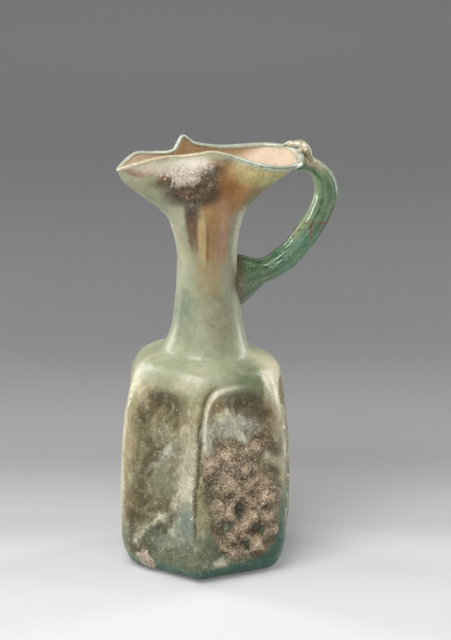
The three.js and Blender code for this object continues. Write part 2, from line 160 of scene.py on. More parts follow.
def noise(points, size, seed):
    """Smooth noise from 0 to 1 at points in millimetres, with features of that size."""
    q = points / size
    cell = np.floor(q)
    f = q - cell
    f = f * f * (3 - 2 * f)
    total = np.zeros(q.shape[:-1])
    for corner in range(8):
        step = np.array([corner & 1, corner >> 1 & 1, corner >> 2 & 1])
        at = cell + step
        raw = np.sin(at @ HASH_STEPS + seed * HASH_SEED) * HASH_SCALE
        value = raw - np.floor(raw)
        total += value * np.prod(np.where(step, f, 1 - f), axis=-1)
    return total


def rough_noise(points, size, seed, octaves=3):
    total = np.zeros(points.shape[:-1])
    for octave in range(octaves):
        total += noise(points, size / 2**octave, seed + octave) / 2 ** (octave + 1)
    return total / (1 - 0.5**octaves)


def spline(points, at, closed=False):
    """Catmull-Rom through points, at 0 to 1 from the first to the last, or round to the first again."""
    points = np.asarray(points, float)
    count = len(points)
    at = np.asarray(at, float)
    if closed:
        along = (at % 1.0) * count
        i = np.floor(along).astype(int)
        before, here, after, beyond = (points[(i + k) % count] for k in (-1, 0, 1, 2))
    else:
        padded = np.vstack([2 * points[0] - points[1], points, 2 * points[-1] - points[-2]])
        along = np.clip(at, 0, 1) * (count - 1)
        i = np.minimum(np.floor(along).astype(int), count - 2)
        before, here, after, beyond = (padded[i + k] for k in (0, 1, 2, 3))
    t = (along - i)[..., None]
    slope = (after - before) / 2
    next_slope = (beyond - here) / 2
    cubic = 2 * here - 2 * after + slope + next_slope
    square = -3 * here + 3 * after - 2 * slope - next_slope
    return ((cubic * t + square) * t + slope) * t + here


# From a hexagon's corner to the middle of its flat
TO_FLAT = math.cos(math.radians(30))


def to_corner(across_flats):
    return across_flats / 2 / TO_FLAT


def between(start, end, share_in, share_up):
    return (mix(start[0], end[0], share_in), mix(start[1], end[1], share_up))


BODY_TOP = (to_corner(TOP_ACROSS), BODY_TOP_HEIGHT)
SHOULDER = (SHOULDER_RADIUS, SHOULDER_HEIGHT)
NECK_FOOT = (NECK_FOOT_RADIUS, NECK_FOOT_HEIGHT)
NECK = (NECK_RADIUS, NECK_HEIGHT)
THROAT = (THROAT_RADIUS, THROAT_HEIGHT)
NECK_BEND = between(NECK_FOOT, NECK, 0.565, 0.216)
NECK_TAPER = between(NECK_FOOT, NECK, 0.823, 0.49)

# The side of the jug from heel to throat, as corner radius and height
SIDE_PROFILE = [
    (to_corner(FOOT_ACROSS), HEEL_HEIGHT),
    (to_corner(BODY_ACROSS), WIDEST_HEIGHT),
    (to_corner(WAIST_ACROSS), WAIST_HEIGHT),
    BODY_TOP,
    between(BODY_TOP, SHOULDER, 0.42, 0.654),
    SHOULDER,
    between(SHOULDER, NECK_FOOT, 0.55, 0.527),
    NECK_FOOT,
    NECK_BEND,
    NECK_TAPER,
    NECK,
    between(NECK, THROAT, 0.3, 0.56),
    THROAT,
]
ROUND_SECTION = 0.92
ROUND_FROM = mix(BODY_TOP_HEIGHT, NECK_FOOT_HEIGHT, 0.877)


def hexagon(angle):
    total = 0
    for face in range(6):
        facing = math.radians(HEX_TURN + 60 * (face + 0.5))
        total = total + np.maximum(0, np.cos(angle - facing)) ** CORNER_SHARPNESS
    return TO_FLAT / total ** (1 / CORNER_SHARPNESS)


def off_face(angle):
    turned = np.degrees(angle) - HEX_TURN
    return np.radians(turned % 60 - 30)


def face_of(angle):
    return np.floor((np.degrees(angle) - HEX_TURN) / 60).astype(int) % 6


def panel_margin(across, height):
    """How far a place lies inside the arched outline of a sunk field."""
    arch = np.hypot(across / PANEL_HALF_WIDTH, np.maximum(0, height - PANEL_SPRING) / PANEL_ARCH)
    in_arch = (1 - arch) * min(PANEL_HALF_WIDTH, PANEL_ARCH)
    return np.minimum(in_arch, height - PANEL_FOOT)


# The fields as they show on the glass: a little wider and higher, with squarer shoulders, and the
# lozenge fields' middles to one side
SHOWN_WIDER = 0.6
SHOWN_HIGHER = 2
SHOWN_SQUARENESS = 2.8
SHOWN_ASIDE = 1.8


def shown_margin(across, height, middle):
    """The same for the outline as it shows on the glass."""
    side = np.abs(across - middle) / (PANEL_HALF_WIDTH + SHOWN_WIDER + 0.5 * middle)
    top = np.maximum(0, height - PANEL_SPRING + SHOWN_HIGHER) / (PANEL_ARCH + SHOWN_HIGHER)
    arch = (side**SHOWN_SQUARENESS + top**SHOWN_SQUARENESS) ** (1 / SHOWN_SQUARENESS)
    return np.minimum((1 - arch) * PANEL_HALF_WIDTH, height - PANEL_FOOT)


def panel_mask(angle, radius, height):
    """1 inside a face's sunk field, 0 on its rounded frame."""
    across = radius * TO_FLAT * np.tan(off_face(angle))
    return smooth(0, PANEL_EDGE, panel_margin(across, height))


def lift(radius, angle, height):
    return np.stack([radius * np.cos(angle), radius * np.sin(angle), height * np.ones_like(angle)], -1)


def side_point(angle, along):
    profile = spline(SIDE_PROFILE, along)
    out, height = profile[..., 0], profile[..., 1]
    section = mix(hexagon(angle), ROUND_SECTION, smooth(BODY_TOP_HEIGHT - 5, ROUND_FROM, height))
    body = smooth(NECK_FOOT_RADIUS, SHOULDER_RADIUS, out)
    radius = out * mix(1, section, body) - PANEL_DEPTH * panel_mask(angle, out, height)
    point = lift(radius, angle, height)
    on_neck = smooth(NECK_FOOT_HEIGHT, NECK_BEND[1], height)
    on_neck = on_neck * (1 - smooth(NECK_HEIGHT, THROAT_HEIGHT, height))
    shoulder = smooth(BODY_TOP_HEIGHT, NECK_FOOT_HEIGHT, height)
    shoulder = shoulder * (1 - smooth(NECK_FOOT_HEIGHT, NECK_TAPER[1], height))
    point[..., 0] += NECK_SHIFT * on_neck
    point[..., 2] -= SHOULDER_LEAN * point[..., 0] * shoulder
    return point


def heel_point(angle, along):
    turn = along * math.pi / 2
    corner = to_corner(FOOT_ACROSS) - HEEL_INSET + HEEL_INSET * np.sin(turn)
    height = HEEL_HEIGHT * (1 - np.cos(turn))
    radius = corner * hexagon(angle) - PANEL_DEPTH * panel_mask(angle, corner, height)
    return lift(radius, angle, height)


def body_point(angle, height):
    """A point of the heel or the side by its height."""
    turn = np.arccos(np.clip(1 - height / HEEL_HEIGHT, 0, 1)) / (math.pi / 2)
    low = heel_point(angle, turn)
    high = side_point(angle, along_at(height))
    return np.where((height < HEEL_HEIGHT)[..., None], low, high)


def lip(angle):
    outline = np.asarray(LIP_OUTLINE, float) + np.array([0, 0, LIP_HEIGHT])
    return spline(outline, angle / (2 * math.pi), closed=True)


def mouth_point(angle, along):
    edge = lip(angle)
    reach = np.maximum(np.hypot(edge[..., 0], edge[..., 1]), PINCH_RADIUS)
    spoutward = smooth(0.2, 0.9, -np.cos(angle))
    full = mix(along, smooth(0, 1, np.minimum(1, SPOUT_FULLNESS * along)), SPOUT_BELLY)
    spread = mix(np.asarray(along, float) ** MOUTH_FLARE, full, spoutward)
    radius = mix(THROAT_RADIUS, reach, spread)
    pull = along**3
    x = radius * np.cos(angle) + pull * (edge[..., 0] - reach * np.cos(angle))
    y = radius * np.sin(angle) + pull * (edge[..., 1] - reach * np.sin(angle))
    return np.stack([x, y, mix(THROAT_HEIGHT, edge[..., 2], along)], -1)


TINY = 1e-9
FAR = 1e9


def unit(v):
    return v / np.maximum(np.linalg.norm(v, axis=-1, keepdims=True), 1e-12)


SHORT_STEP = 1e-3


def normal(surface, angle, along):
    around = surface(angle + SHORT_STEP, along) - surface(angle - SHORT_STEP, along)
    ahead, behind = np.minimum(1, along + SHORT_STEP), np.maximum(0, along - SHORT_STEP)
    return unit(np.cross(around, surface(angle, ahead) - surface(angle, behind)))


# Relief blown into the panels, in millimetres above the sunk field
RELIEF_HEIGHT = 1.8
LATTICE_WIDTH = 17.0
LATTICE_RISE = 16.2
LATTICE_START = 16.9
LOZENGE_HEIGHT = 14.2
LOZENGE_HALF = (14.2, 13.5)
LOZENGE_EDGE = 0.16
LOZENGE_KNOB = 0.4


def off_line(x, y, start, end):
    """How far places lie from the straight line between two others."""
    line = end - start
    share = ((x - start[0]) * line[0] + (y - start[1]) * line[1]) / max(line @ line, TINY)
    share = np.clip(share, 0, 1)
    return np.hypot(x - start[0] - share * line[0], y - start[1] - share * line[1])


def band(x, y, start, end, width):
    """1 on a straight ridge between two places of a face, fading to 0 at its width."""
    return hump(off_line(x, y, np.array(start, float), np.array(end, float)), width)


def lattice_ridges(across, height):
    """1 on the crossing ridges of the lattice and 0 in the middle of its hollows."""
    rise = (height + 1.2 * np.sin(across / 7.0 + 1.0) - LATTICE_START) / LATTICE_RISE
    bent = across + 0.9 * np.sin(height / 11.0)
    crossing = []
    for lean in (1, -1):
        phase = bent / LATTICE_WIDTH + lean * rise
        crossing.append((0.5 - 0.5 * np.cos(2 * math.pi * phase)) ** 2.0)
    regular = np.maximum(*crossing) * (1 - 0.85 * smooth(56, 66, height))
    warped = band(across, height, (-5.5, 77), (5.5, 60), 1.7)
    side = 0.8 * band(across, height, (10, 60), (22, 50), 1.7)
    bulge = 0.7 * band(across, height, (-12, 68), (-9, 74), 4.0)
    return np.maximum.reduce([regular, warped, side, bulge])


def lozenge_ridges(across, height):
    bent = across + 0.8 * np.sin(height / 9.0 + 2.0)
    upper = 0.8 * band(bent, height, (-18, 42), (12.5, 67.5), 3.2)
    fold = 0.9 * band(bent, height, (9, 34), (17.5, 21), 2.0)
    away = np.abs(bent) / LOZENGE_HALF[0] + np.abs(height - LOZENGE_HEIGHT) / LOZENGE_HALF[1]
    outline = hump(away - 1, LOZENGE_EDGE)
    knob = 0.9 * hump(away, LOZENGE_KNOB)
    return np.maximum.reduce([upper, fold, outline, knob])


STROKE_LENGTH = 12.0
STROKE_BREADTH = 5.5


def strokes(across, height, lean, face):
    """Soft dents drawn slantwise over a sunk field, from 0 to 1."""
    along = (height + lean * across) / STROKE_LENGTH
    aside = (height - lean * across) / STROKE_BREADTH
    drawn = rough_noise(np.stack([along, aside, 7.3 * face + 0 * along], -1), 1.0, STROKE_SEED, 2)
    return smooth(0.3, 0.7, drawn)


# Heights and depths of the finer relief, and the lines in it with each one's place and half
# width: the bead and the groove count inward from a field's outline, the others to the right from
# the front corner
STROKE_HEIGHT = 0.9
BEAD_HEIGHT = 0.75
GROOVE_DEPTH = 0.4
CREASE_DEPTH = 1.0
RIB_HEIGHT = 1.2
SQUARED_SHARE = 0.8
BEAD_LINE = (-0.3, 0.65)
GROOVE_LINE = (-2.0, 0.6)
CREASE_LINE = (0.3, 0.8)
RIB_LINE = (-4.4, 3.2)
FLAKE_LINE = (-1.4, 0.7)
FRONT_CORNER = HEX_TURN - 120.0
FRONT_CORNER_LEAN = 0.09
CORNER_HALF_WIDTH = 2.4
# Heights between which the bead, the groove, the front corner's lines and the painted shade under the
# arch set in, and between which the corner's lines and all relief of the body end
BEAD_START = (60, 66)
GROOVE_START = (58, 66)
EDGE_START = (18, 28)
EDGE_END = (70, 82)
ARCH_SHADE_START = (64, 74)
BODY_END = (84, 96)


def line_mask(away, line):
    return hump(away - line[0], line[1])


def from_front_corner(angle, radius, height):
    """Millimetres round from the front corner, which leans, to the right."""
    away = np.degrees(angle) - FRONT_CORNER - FRONT_CORNER_LEAN * (height - 60)
    return np.radians((away + 180) % 360 - 180) * radius


def body_relief(angle, radius, height):
    """For each point of the body: how far its relief stands out, and the masks of its parts."""
    across = BODY_ACROSS / 2 * np.tan(off_face(angle))
    field = panel_mask(angle, radius, height)
    lattice = face_of(angle) % 2 == LATTICE_FACE % 2
    ridges = np.where(lattice, lattice_ridges(across, height), lozenge_ridges(across, height)) * field
    drawn = strokes(across, height, np.where(lattice, -1, 1), face_of(angle))
    lifted = RELIEF_HEIGHT * ridges + STROKE_HEIGHT * (drawn - 0.5) * field
    true_across = radius * TO_FLAT * np.tan(off_face(angle))
    margin = shown_margin(true_across, height, np.where(lattice, 0, SHOWN_ASIDE))
    squared = np.clip(smooth(0, PANEL_EDGE, margin) - field, 0, 1)
    lifted = lifted - SQUARED_SHARE * PANEL_DEPTH * squared
    field = np.maximum(field, squared)
    bead = line_mask(margin, BEAD_LINE) * smooth(*BEAD_START, height)
    bead_side = smooth(8, -8, true_across)
    lifted = lifted + BEAD_HEIGHT * bead * np.where(lattice, bead_side, 0.35)
    groove = line_mask(margin, GROOVE_LINE) * smooth(*GROOVE_START, height)
    groove = groove * np.where(lattice, smooth(-6, -12, true_across), 0)
    lifted = lifted - GROOVE_DEPTH * groove
    # Painted shade: a dark band just inside the top of each field's arch
    painted_arch_shade = smooth(0, 2.5, margin) * (1 - smooth(4, 11, margin))
    painted_arch_shade = painted_arch_shade * smooth(*ARCH_SHADE_START, height)
    shade_side = np.where(lattice, smooth(-4, 2, true_across), 0.7 * smooth(13, 3, true_across))
    from_corner = from_front_corner(angle, radius, height)
    long_edge = smooth(*EDGE_START, height) * (1 - smooth(*EDGE_END, height))
    waver = 0.5 * np.sin(height / 5.0) + 0.3 * np.sin(height / 2.1)
    crease = hump(from_corner - CREASE_LINE[0] + waver, CREASE_LINE[1]) * long_edge
    rib = line_mask(from_corner, RIB_LINE) * long_edge
    flakes = line_mask(from_corner, FLAKE_LINE) * long_edge
    off_corner = (30 - np.abs(np.degrees(off_face(angle)))) * np.radians(radius)
    corner = hump(off_corner, CORNER_HALF_WIDTH) * (1 - hump(from_corner, 9))
    lifted = lifted + RIB_HEIGHT * rib - CREASE_DEPTH * crease
    outline = np.where(lattice, 0.35 * ridges, ridges) * field
    low_outline = 0.35 * outline * smooth(64, 30, height)
    marks = {
        "sunk": field,
        "deep": smooth(-1, 4.5, margin),
        "painted_arch_shade": painted_arch_shade * shade_side,
        "ridge": ridges,
        "painted_stroke_light": drawn * field,
        "painted_dent_shade": (1 - drawn) * field,
        "crease": np.maximum(crease, 0.7 * groove),
        "corner": corner,
        "bead": bead * np.where(lattice, bead_side, 0),
        "grainy": np.maximum.reduce([flakes, low_outline, 0.04 * field]),
    }
    return lifted, marks


# Depth in millimetres of the slow wander of the glass and of its dimples, how far the corners lie
# in, and the share of all this that the lip loses
WANDER_DEPTH = 0.7
DIMPLE_DEPTH = 0.22
CORNER_PULL = 0.6
LIP_CALM = 0.8


def unevenness(points):
    """The hand-made wander of the glass, in millimetres."""
    slow = rough_noise(points, 22.0, WANDER_SEED) - 0.5
    dimple = rough_noise(points, 5.0, DIMPLE_SEED) - 0.5
    return WANDER_DEPTH * slow + DIMPLE_DEPTH * dimple


def glass_relief(points, angle):
    """Relief and unevenness together for points of the outside, with the masks of the relief."""
    height = points[..., 2]
    radius = np.hypot(points[..., 0], points[..., 1]) / hexagon(angle)
    lifted, marks = body_relief(angle, radius, height)
    on_body = 1 - smooth(*BODY_END, height)
    wander = unevenness(points) * smooth(0, 6, height)
    clusters = smooth(0.42, 0.6, rough_noise(points, 7.0, CLUSTER_SEED))
    marks["grainy"] = marks["grainy"] * clusters * smooth(4, 8, height)
    relief = (lifted - CORNER_PULL * marks["corner"]) * on_body * smooth(1, 8, height) + wander
    return relief, {key: mask * on_body for key, mask in marks.items()}


def grid_faces(rows, columns):
    """Quads between rows of points that close round."""
    low = np.arange(rows - 1)[:, None] * columns + np.arange(columns)
    nxt = np.arange(rows - 1)[:, None] * columns + (np.arange(columns) + 1) % columns
    quads = np.stack([low, nxt, nxt + columns, low + columns], -1).reshape(-1, 4)
    return quads.tolist()


def end_faces(first, last, last_ring, columns):
    """Triangles that close a tube: its first ring round one point, and its last ring round another."""
    faces = []
    for j in range(columns):
        k = (j + 1) % columns
        faces += [(first, k, j), (last, last_ring + j, last_ring + k)]
    return faces


def make_mesh(name, points, faces, marks=None):
    """A mesh object at the origin from points in millimetres, with its marks as attributes."""
    mesh = bpy.data.meshes.new(name)
    mesh.from_pydata((np.asarray(points) * MM).tolist(), [], faces)
    mesh.validate()
    for key, values in (marks or {}).items():
        layer = mesh.attributes.new(key, "FLOAT", "POINT")
        layer.data.foreach_set("value", np.asarray(values, np.float32))
    mesh.polygons.foreach_set("use_smooth", [True] * len(mesh.polygons))
    obj = bpy.data.objects.new(name, mesh)
    bpy.context.scene.collection.objects.link(obj)
    return obj


# Fineness of the jug's mesh: points round it, and rows along the heel, each span of the side, and
# the mouth; the inner wall takes every second row of the mouth and every sixth of the rest
COLUMNS = 330
HEEL_ROWS = 24
SIDE_ROWS = (20, 34, 28, 14, 8, 6, 5, 8, 8, 12, 7, 6)
MOUTH_ROWS = 34
INNER_MOUTH_STEP = 2
INNER_SIDE_STEP = 6

# Films on the glass, from the lowest to the uppermost, some carrying painted shadow, highlights, edge
# light and glow among their stains: each one's colour, and for each of its stains the angle round the
# jug in degrees, height, half width and half height in millimetres, lean from upright in degrees, and
# strength. A film's place in the table also gives the seed of its edges.
FILMS = {
    "clear_green": ((112, 124, 90), [
        (-58, 87, 16, 8, 0, 1.0), (-20, 168, 8, 8, 0, 0.8), (-93, 69, 4, 4, 0, 0.7),
        (-133, 45, 8, 10, 20, 0.9), (-137, 17, 10, 9, 0, 1.0), (-118, 17, 6, 10, 15, 0.8),
        (-101, 15, 7, 9, 0, 0.9), (-76, 32, 3, 4, 0, 0.9), (-148.5, 115, 9, 14, 0, 0.5),
        (-30, 173, 7, 9, 0, 0.9), (-165, 165, 10, 6, 0, 0.3),
    ]),
    "tan_film": ((172, 144, 94), [
        (-153, 80, 5, 9, 0, 0.6), (-95, 79, 6, 9, -10, 0.8), (-86, 62, 10, 6, 0, 0.5),
        (-95, 131, 7, 10, 0, 0.6), (-98, 150, 10, 14, 0, 0.6), (-165, 173, 8, 6, 0, 0.3),
        (-64, 58, 8, 6, 0, 0.6),
    ]),
    # Olive-brown weathering; its three leaning stains on the lozenge panel are painted shadow under the
    # rib
    "olive_film_and_shadow": ((94, 80, 38), [
        (-150, 53, 4.5, 12, 46, 1.0), (-146, 57, 4, 8, 46, 1.0), (-52, 5, 8, 4, 0, 0.5),
        (-141, 60, 4, 9, 52, 0.9), (-158, 28, 4, 12, 0, 0.9), (-150, 36, 7, 8, 0, 0.6),
        (-157, 12, 4, 7, 0, 0.8), (-66.6, 51.5, 5, 4, 0, 0.9), (-53, 58, 6, 5, 0, 1.0),
        (-58, 48.5, 8, 4, 0, 0.9), (-46, 63, 3.4, 10, 0, 0.9), (-77, 114, 9, 15, 0, 0.4),
    ]),
    "brown_film": ((108, 72, 34), [
        (-50, 74, 4, 8, -20, 0.7), (-79, 76, 3.5, 5, 0, 1.0), (-126, 155, 2.6, 11, 0, 1.0),
        (-117, 154, 1.2, 9, 0, 0.9), (-99, 148, 0.9, 11, 0, 0.9), (-79, 150, 0.8, 10, 0, 0.8),
        (-74, 181, 8, 2.6, 0, 1.0), (-16, 127, 8, 5, 0, 1.0), (-58, 65, 6, 5, 30, 0.8),
        (-50, 31, 3, 5, 0, 0.6), (-61, 73, 8, 5, 0, 0.6), (-142, 75, 1.6, 5, 0, 0.6),
        (-136, 72, 1.2, 6, 0, 0.6),
    ]),
    "mauve_film": ((154, 140, 122), [
        (-70, 76, 6, 7, 0, 0.7), (-64, 68, 5, 5, 0, 0.5), (-137, 63, 5, 6, 0, 0.5),
        (-128, 53, 4, 5, 0, 0.5),
    ]),
    # Whitish weathering, with painted highlights along ridges of the relief
    "chalk_and_highlights": ((208, 204, 172), [
        (-116, 54, 5.5, 19, 4, 1.0), (-114, 40, 3, 10, 0, 0.8), (-111, 62, 3, 12, 0, 0.7),
        (-99, 58, 3, 10, 0, 0.9), (-121, 64, 4, 9, 40, 0.6), (-128, 60, 3, 5, 50, 0.6),
        (-122, 34, 3.5, 9, 42, 0.5), (-117, 28, 4, 8, 20, 0.5), (-158, 44, 2.4, 5, 60, 0.5),
        (-139, 27, 6, 2.4, 0, 0.5), (-151, 20, 2.4, 7, 40, 0.4), (-126, 20, 2.4, 6, -40, 0.3),
        (-92.6, 71, 4, 6, 0, 1.0), (-86, 73, 6, 5, 0, 1.0), (-76.5, 66, 2, 8, -34, 1.0),
        (-141.5, 52, 1.3, 4, 60, 0.9), (-60, 76, 2, 5, -30, 0.5), (-52.5, 52.5, 2.4, 10, -56, 0.8),
        (-93, 9.5, 3.5, 2.4, 0, 0.8), (-116, 89.5, 10, 3.4, 0, 0.7), (-156, 147, 6, 14, 0, 0.5),
    ]),
    "fawn_film": ((186, 164, 124), [
        (-162, 57, 3.4, 14, 0, 0.8), (-160, 34, 3.5, 7, 0, 0.5), (-118, 72, 5, 11, 0, 0.5),
    ]),
    "blue_fold": ((134, 156, 144), [
        (-117, 26, 5.5, 13, 12, 1.0), (-138, 17, 5, 5, 0, 0.6), (-148.5, 118, 5, 10, 0, 0.4),
    ]),
    # Painted edge light: pale bands where the body's and neck's side edges catch the light
    "painted_edge_light": ((240, 230, 192), [
        (-30, 66, 13, 26, 0, 1.0), (-22, 80, 14, 12, 0, 1.0), (-28, 147, 4, 13, 0, 0.8),
        (-169.5, 52, 3.0, 38, 0, 1.0), (-158, 82, 4, 8, -25, 0.5), (-50, 84, 3, 7, 30, 0.4),
    ]),
    # Amber deposits in the mouth, partly painted glow where light passes through its right side
    "amber_film_and_glow": ((166, 114, 50), [
        (-58, 173, 12, 9, 0, 0.9), (-78, 166, 12, 11, 0, 1.0), (-90, 149, 3.0, 15, 0, 0.7),
    ]),
    "rose_film": ((188, 148, 112), [
        (-84, 163, 6, 5, 0, 0.5), (-70, 150, 3.4, 14, 0, 1.0), (-112, 182, 14, 3, 0, 0.5),
    ]),
    "tan_streak": ((200, 172, 120), [
        (-108, 151, 1.9, 13, 0, 1.0), (-150, 150, 1.4, 12, 0, 0.5),
    ]),
    "rust_film": ((142, 84, 44), [
        (-164.5, 179, 6, 1.6, 8, 0.9), (-64, 173, 5, 4.5, 0, 0.6), (-153, 176, 1.6, 3, 0, 0.9),
    ]),
    "yellow_film": ((206, 196, 134), [
        (-32, 177, 8, 6, 0, 0.9),
    ]),
    "umber_crust": ((68, 48, 28), [
        (-128, 169.5, 11, 5.6, 0, 1.0), (-90, 179, 6, 3, 0, 0.8), (-104, 177, 6, 4, 0, 0.6),
        (-110, 172, 10, 7.5, 0, 1.0), (-122, 161, 4, 5, 0, 0.8), (-148, 174.5, 7, 2.6, 0, 0.7),
    ]),
    "pale_sand": ((214, 202, 184), [
        (-143, 180.5, 12, 3.4, 0, 1.0), (-157, 181, 7, 2.4, 0, 0.6), (-126, 181.5, 7, 2.6, 0, 0.7),
    ]),
    "teal_glass": ((0, 92, 74), [
        (-48, 14, 6, 12, 0, 1.0), (-42, 30, 6, 14, 0, 1.0), (-60, 8, 8, 5, 0, 1.0),
        (-76, 4.5, 16, 3.6, 0, 1.0), (-137, 2.5, 15, 3, 0, 0.9), (-108, 2.5, 12, 3, 0, 0.8),
    ]),
    # White weathering flecks, with painted glints on the ridges and along the neck's right edge
    "white_bloom_and_glints": ((244, 242, 220), [
        (-38, 149, 3.6, 13, 0, 0.8), (-28, 146, 3.0, 14, 0, 0.8), (-76.5, 66, 1.6, 7, -34, 1.0),
        (-102, 67, 2.4, 6, 0, 0.7), (-70.8, 62.5, 2, 2.4, 0, 1.0), (-131, 59, 2.6, 6, 45, 0.7),
        (-119, 43, 4, 4, 0, 0.6), (-112.5, 46, 2, 8, 0, 0.6), (-138, 28.5, 5, 1.6, 0, 0.7),
        (-155.5, 16.5, 2, 4, 40, 0.6), (-147, 23, 1.2, 5, 48, 0.5), (-85, 71, 6, 7, 20, 0.9),
        (-101, 74, 4, 5, 0, 0.4), (-73, 69, 9, 5, 0, 0.6), (-98, 56, 3, 9, 0, 0.5),
        (-96, 53, 5, 4, 0, 0.3), (-93, 9.5, 3, 2, 0, 0.8), (-171, 40, 1.2, 30, 0, 0.7),
        (-170, 150, 2, 14, 0, 0.4),
    ]),
}
# Films that lie in scattered flecks, not as one coat; of both, the noise's scale and its reach at
# the edge
FLECKED = ("white_bloom_and_glints", "pale_sand", "chalk_and_highlights")
FLECKS, COATS = (800.0, 2.2), (300.0, 0.6)
# The panels' stains come back on the like panels round the body, and the neck's on its far side,
# but not on the side that the photograph shows
BODY_TURNS = ((0, 1.0), (120, 0.6), (240, 0.5))
NECK_TURNS = ((0, 1.0), (180, 0.7))
# How far a stain's outline wanders, over what length, how soft its edge is, and where the far side is
STAIN_WANDER = 3.0
STAIN_WAVE = 8.0
STAIN_EDGE = (0.2, 1.6)
FAR_SIDE = (85, 105)


def stain_mask(points, stains, seed):
    """1 inside the stains and 0 clear of them, with soft edges that wander."""
    angle = np.degrees(np.arctan2(points[..., 1], points[..., 0]))
    radius = np.hypot(points[..., 0], points[..., 1])
    height = points[..., 2]
    drift, climb = (
        STAIN_WANDER * (rough_noise(points, STAIN_WAVE, seed + more) - 0.5) for more in (0, 5)
    )
    clear = np.ones(points.shape[:-1])
    facing = np.abs((angle - VIEW_AZIMUTH + 90 + 180) % 360 - 180)
    far_side = smooth(*FAR_SIDE, facing)
    for at, level, wide, tall, lean, strength in stains:
        for turn, share in BODY_TURNS if level < NECK_FOOT_HEIGHT else NECK_TURNS:
            share = share * far_side if turn else 1.0
            across = np.radians((angle - at - turn + 180) % 360 - 180) * radius
            across = across + drift * min(1, wide / 5)
            rise = height - level + climb
            tilt = math.radians(lean)
            aside = across * math.cos(tilt) - rise * math.sin(tilt)
            along = across * math.sin(tilt) + rise * math.cos(tilt)
            away = np.hypot(aside / wide, along / tall)
            clear = clear * (1 - strength * share * (1 - smooth(*STAIN_EDGE, away)))
    return 1 - clear


def glass_rows():
    """The stations of the fine wall from heel to lip: the surface and the places along it."""
    heel = np.linspace(0, 1, HEEL_ROWS, endpoint=False)
    spans = len(SIDE_PROFILE) - 1
    side = np.concatenate([(k + np.arange(n) / n) / spans for k, n in enumerate(SIDE_ROWS)])
    mouth = np.linspace(0, 1, MOUTH_ROWS)
    surfaces = ((heel_point, heel), (side_point, side), (mouth_point, mouth))
    return [(surface, place) for surface, places in surfaces for place in places]


def build_vessel():
    """The glass itself: its outside with all relief, its inside, and the marks of films and stains."""
    angles = np.linspace(0, 2 * math.pi, COLUMNS, endpoint=False)
    outer, inner, painted = [], [], []
    rows = glass_rows()
    for surface, place in rows:
        along = np.full(COLUMNS, place)
        base = surface(angles, along)
        out = normal(surface, angles, along)
        relief, masks = glass_relief(base, angles)
        wall = mix(WALL, LIP_WALL, place) if surface is mouth_point else WALL
        if surface is mouth_point:
            relief = relief * (1 - LIP_CALM * smooth(0.8, 1, place))
        outer.append(base + out * relief[:, None])
        inner.append(base - out * wall)
        painted.append(masks)
    mouth_foot = len(rows) - MOUTH_ROWS
    inner_rows = [*range(len(rows) - 1, mouth_foot, -INNER_MOUTH_STEP)]
    inner_rows += [*range(mouth_foot, 0, -INNER_SIDE_STEP), 0]
    outside = np.concatenate(outer)
    points = np.concatenate([outside] + [inner[i] for i in inner_rows])
    total_rows = len(rows) + len(inner_rows)
    faces = grid_faces(total_rows, COLUMNS)
    faces += end_faces(len(points), len(points) + 1, (total_rows - 1) * COLUMNS, COLUMNS)
    points = np.vstack([points, outer[0].mean(0), inner[0].mean(0)])
    blank = np.zeros(len(inner_rows) * COLUMNS + 2)
    marks = {"inside": np.concatenate([np.zeros(len(outside)), blank + 1])}
    marks["inside"][-2] = 0
    for name in painted[0]:
        marks[name] = np.concatenate([masks[name] for masks in painted] + [blank])
    for place, (name, (_, stains)) in enumerate(FILMS.items()):
        seed = FILM_SEED + FILM_SEED_STEP * place
        marks[name] = np.concatenate([stain_mask(outside, stains, seed), blank])
    around = np.arctan2(outside[:, 1], outside[:, 0])
    across = BODY_ACROSS / 2 * np.tan(off_face(around))
    on_lattice = (face_of(around) == LATTICE_FACE) & (outside[:, 2] < BODY_TOP_HEIGHT)
    bare = bare_hollows(across, outside[:, 2], soil_edge(outside)) * on_lattice
    reach = smooth(-5, 3, outline_depth(across, outside[:, 2], LATTICE_SOIL_OUTLINE)) * on_lattice
    marks["soil_film"] = np.concatenate([reach * (1 - bare), blank])
    marks["bare_hollow"] = np.concatenate([bare, blank])
    return make_mesh("jug_glass", points, faces, marks)


def coil_middle(angle):
    along = np.ones_like(angle)
    return mouth_point(angle, along) - normal(mouth_point, angle, along) * LIP_WALL / 2


def build_rim():
    """The coil round the lip: thick and grooved at one side, thin at the other."""
    steps, sides = COIL_STEPS, COIL_SIDES
    angles = np.linspace(0, 2 * math.pi, steps, endpoint=False)
    middle = coil_middle(angles)
    along = unit(coil_middle(angles + COIL_LOOK_ROUND) - coil_middle(angles - COIL_LOOK_ROUND))
    outward = unit(np.cross(along, np.array([0, 0, 1.0])))
    upward = np.cross(outward, along)
    turns = np.linspace(0, 2 * math.pi, sides, endpoint=False)
    fullness = 0.5 + 0.5 * np.cos(angles - math.radians(COIL_THICKEST_AT))
    groove = hump((turns + 0.2 + math.pi) % (2 * math.pi) - math.pi, COIL_GROOVE_WIDTH)
    rows, creases = [], []
    for i in range(steps):
        wobble = 1 + 0.2 * (rough_noise(middle[i], 9.0, COIL_SEED) - 0.5)
        thick = COIL_RADIUS * mix(COIL_THIN_SHARE, 1, fullness[i]) * wobble
        shape = thick * (1 + 0.1 * np.cos(2 * turns) - COIL_GROOVE_DEPTH * fullness[i] ** 2 * groove)
        ring = middle[i] + outward[i] * (shape * np.cos(turns))[:, None]
        rows.append(ring - upward[i] * (shape * np.sin(turns))[:, None])
        creases.append(fullness[i] ** 2 * groove)
    points = np.concatenate(rows)
    faces = grid_faces(steps, sides)
    last = (steps - 1) * sides
    for j in range(sides):
        k = (j + 1) % sides
        faces.append((last + j, last + k, k, j))
    turned = np.degrees(angles)[:, None] + 0 * turns
    cream = smooth(0.2, 1, np.cos(np.radians(turned - COIL_CREAM_AT)))
    marks = {"crease": np.concatenate(creases), "cream": cream.ravel()}
    return make_mesh("lip_coil", points, faces, marks)


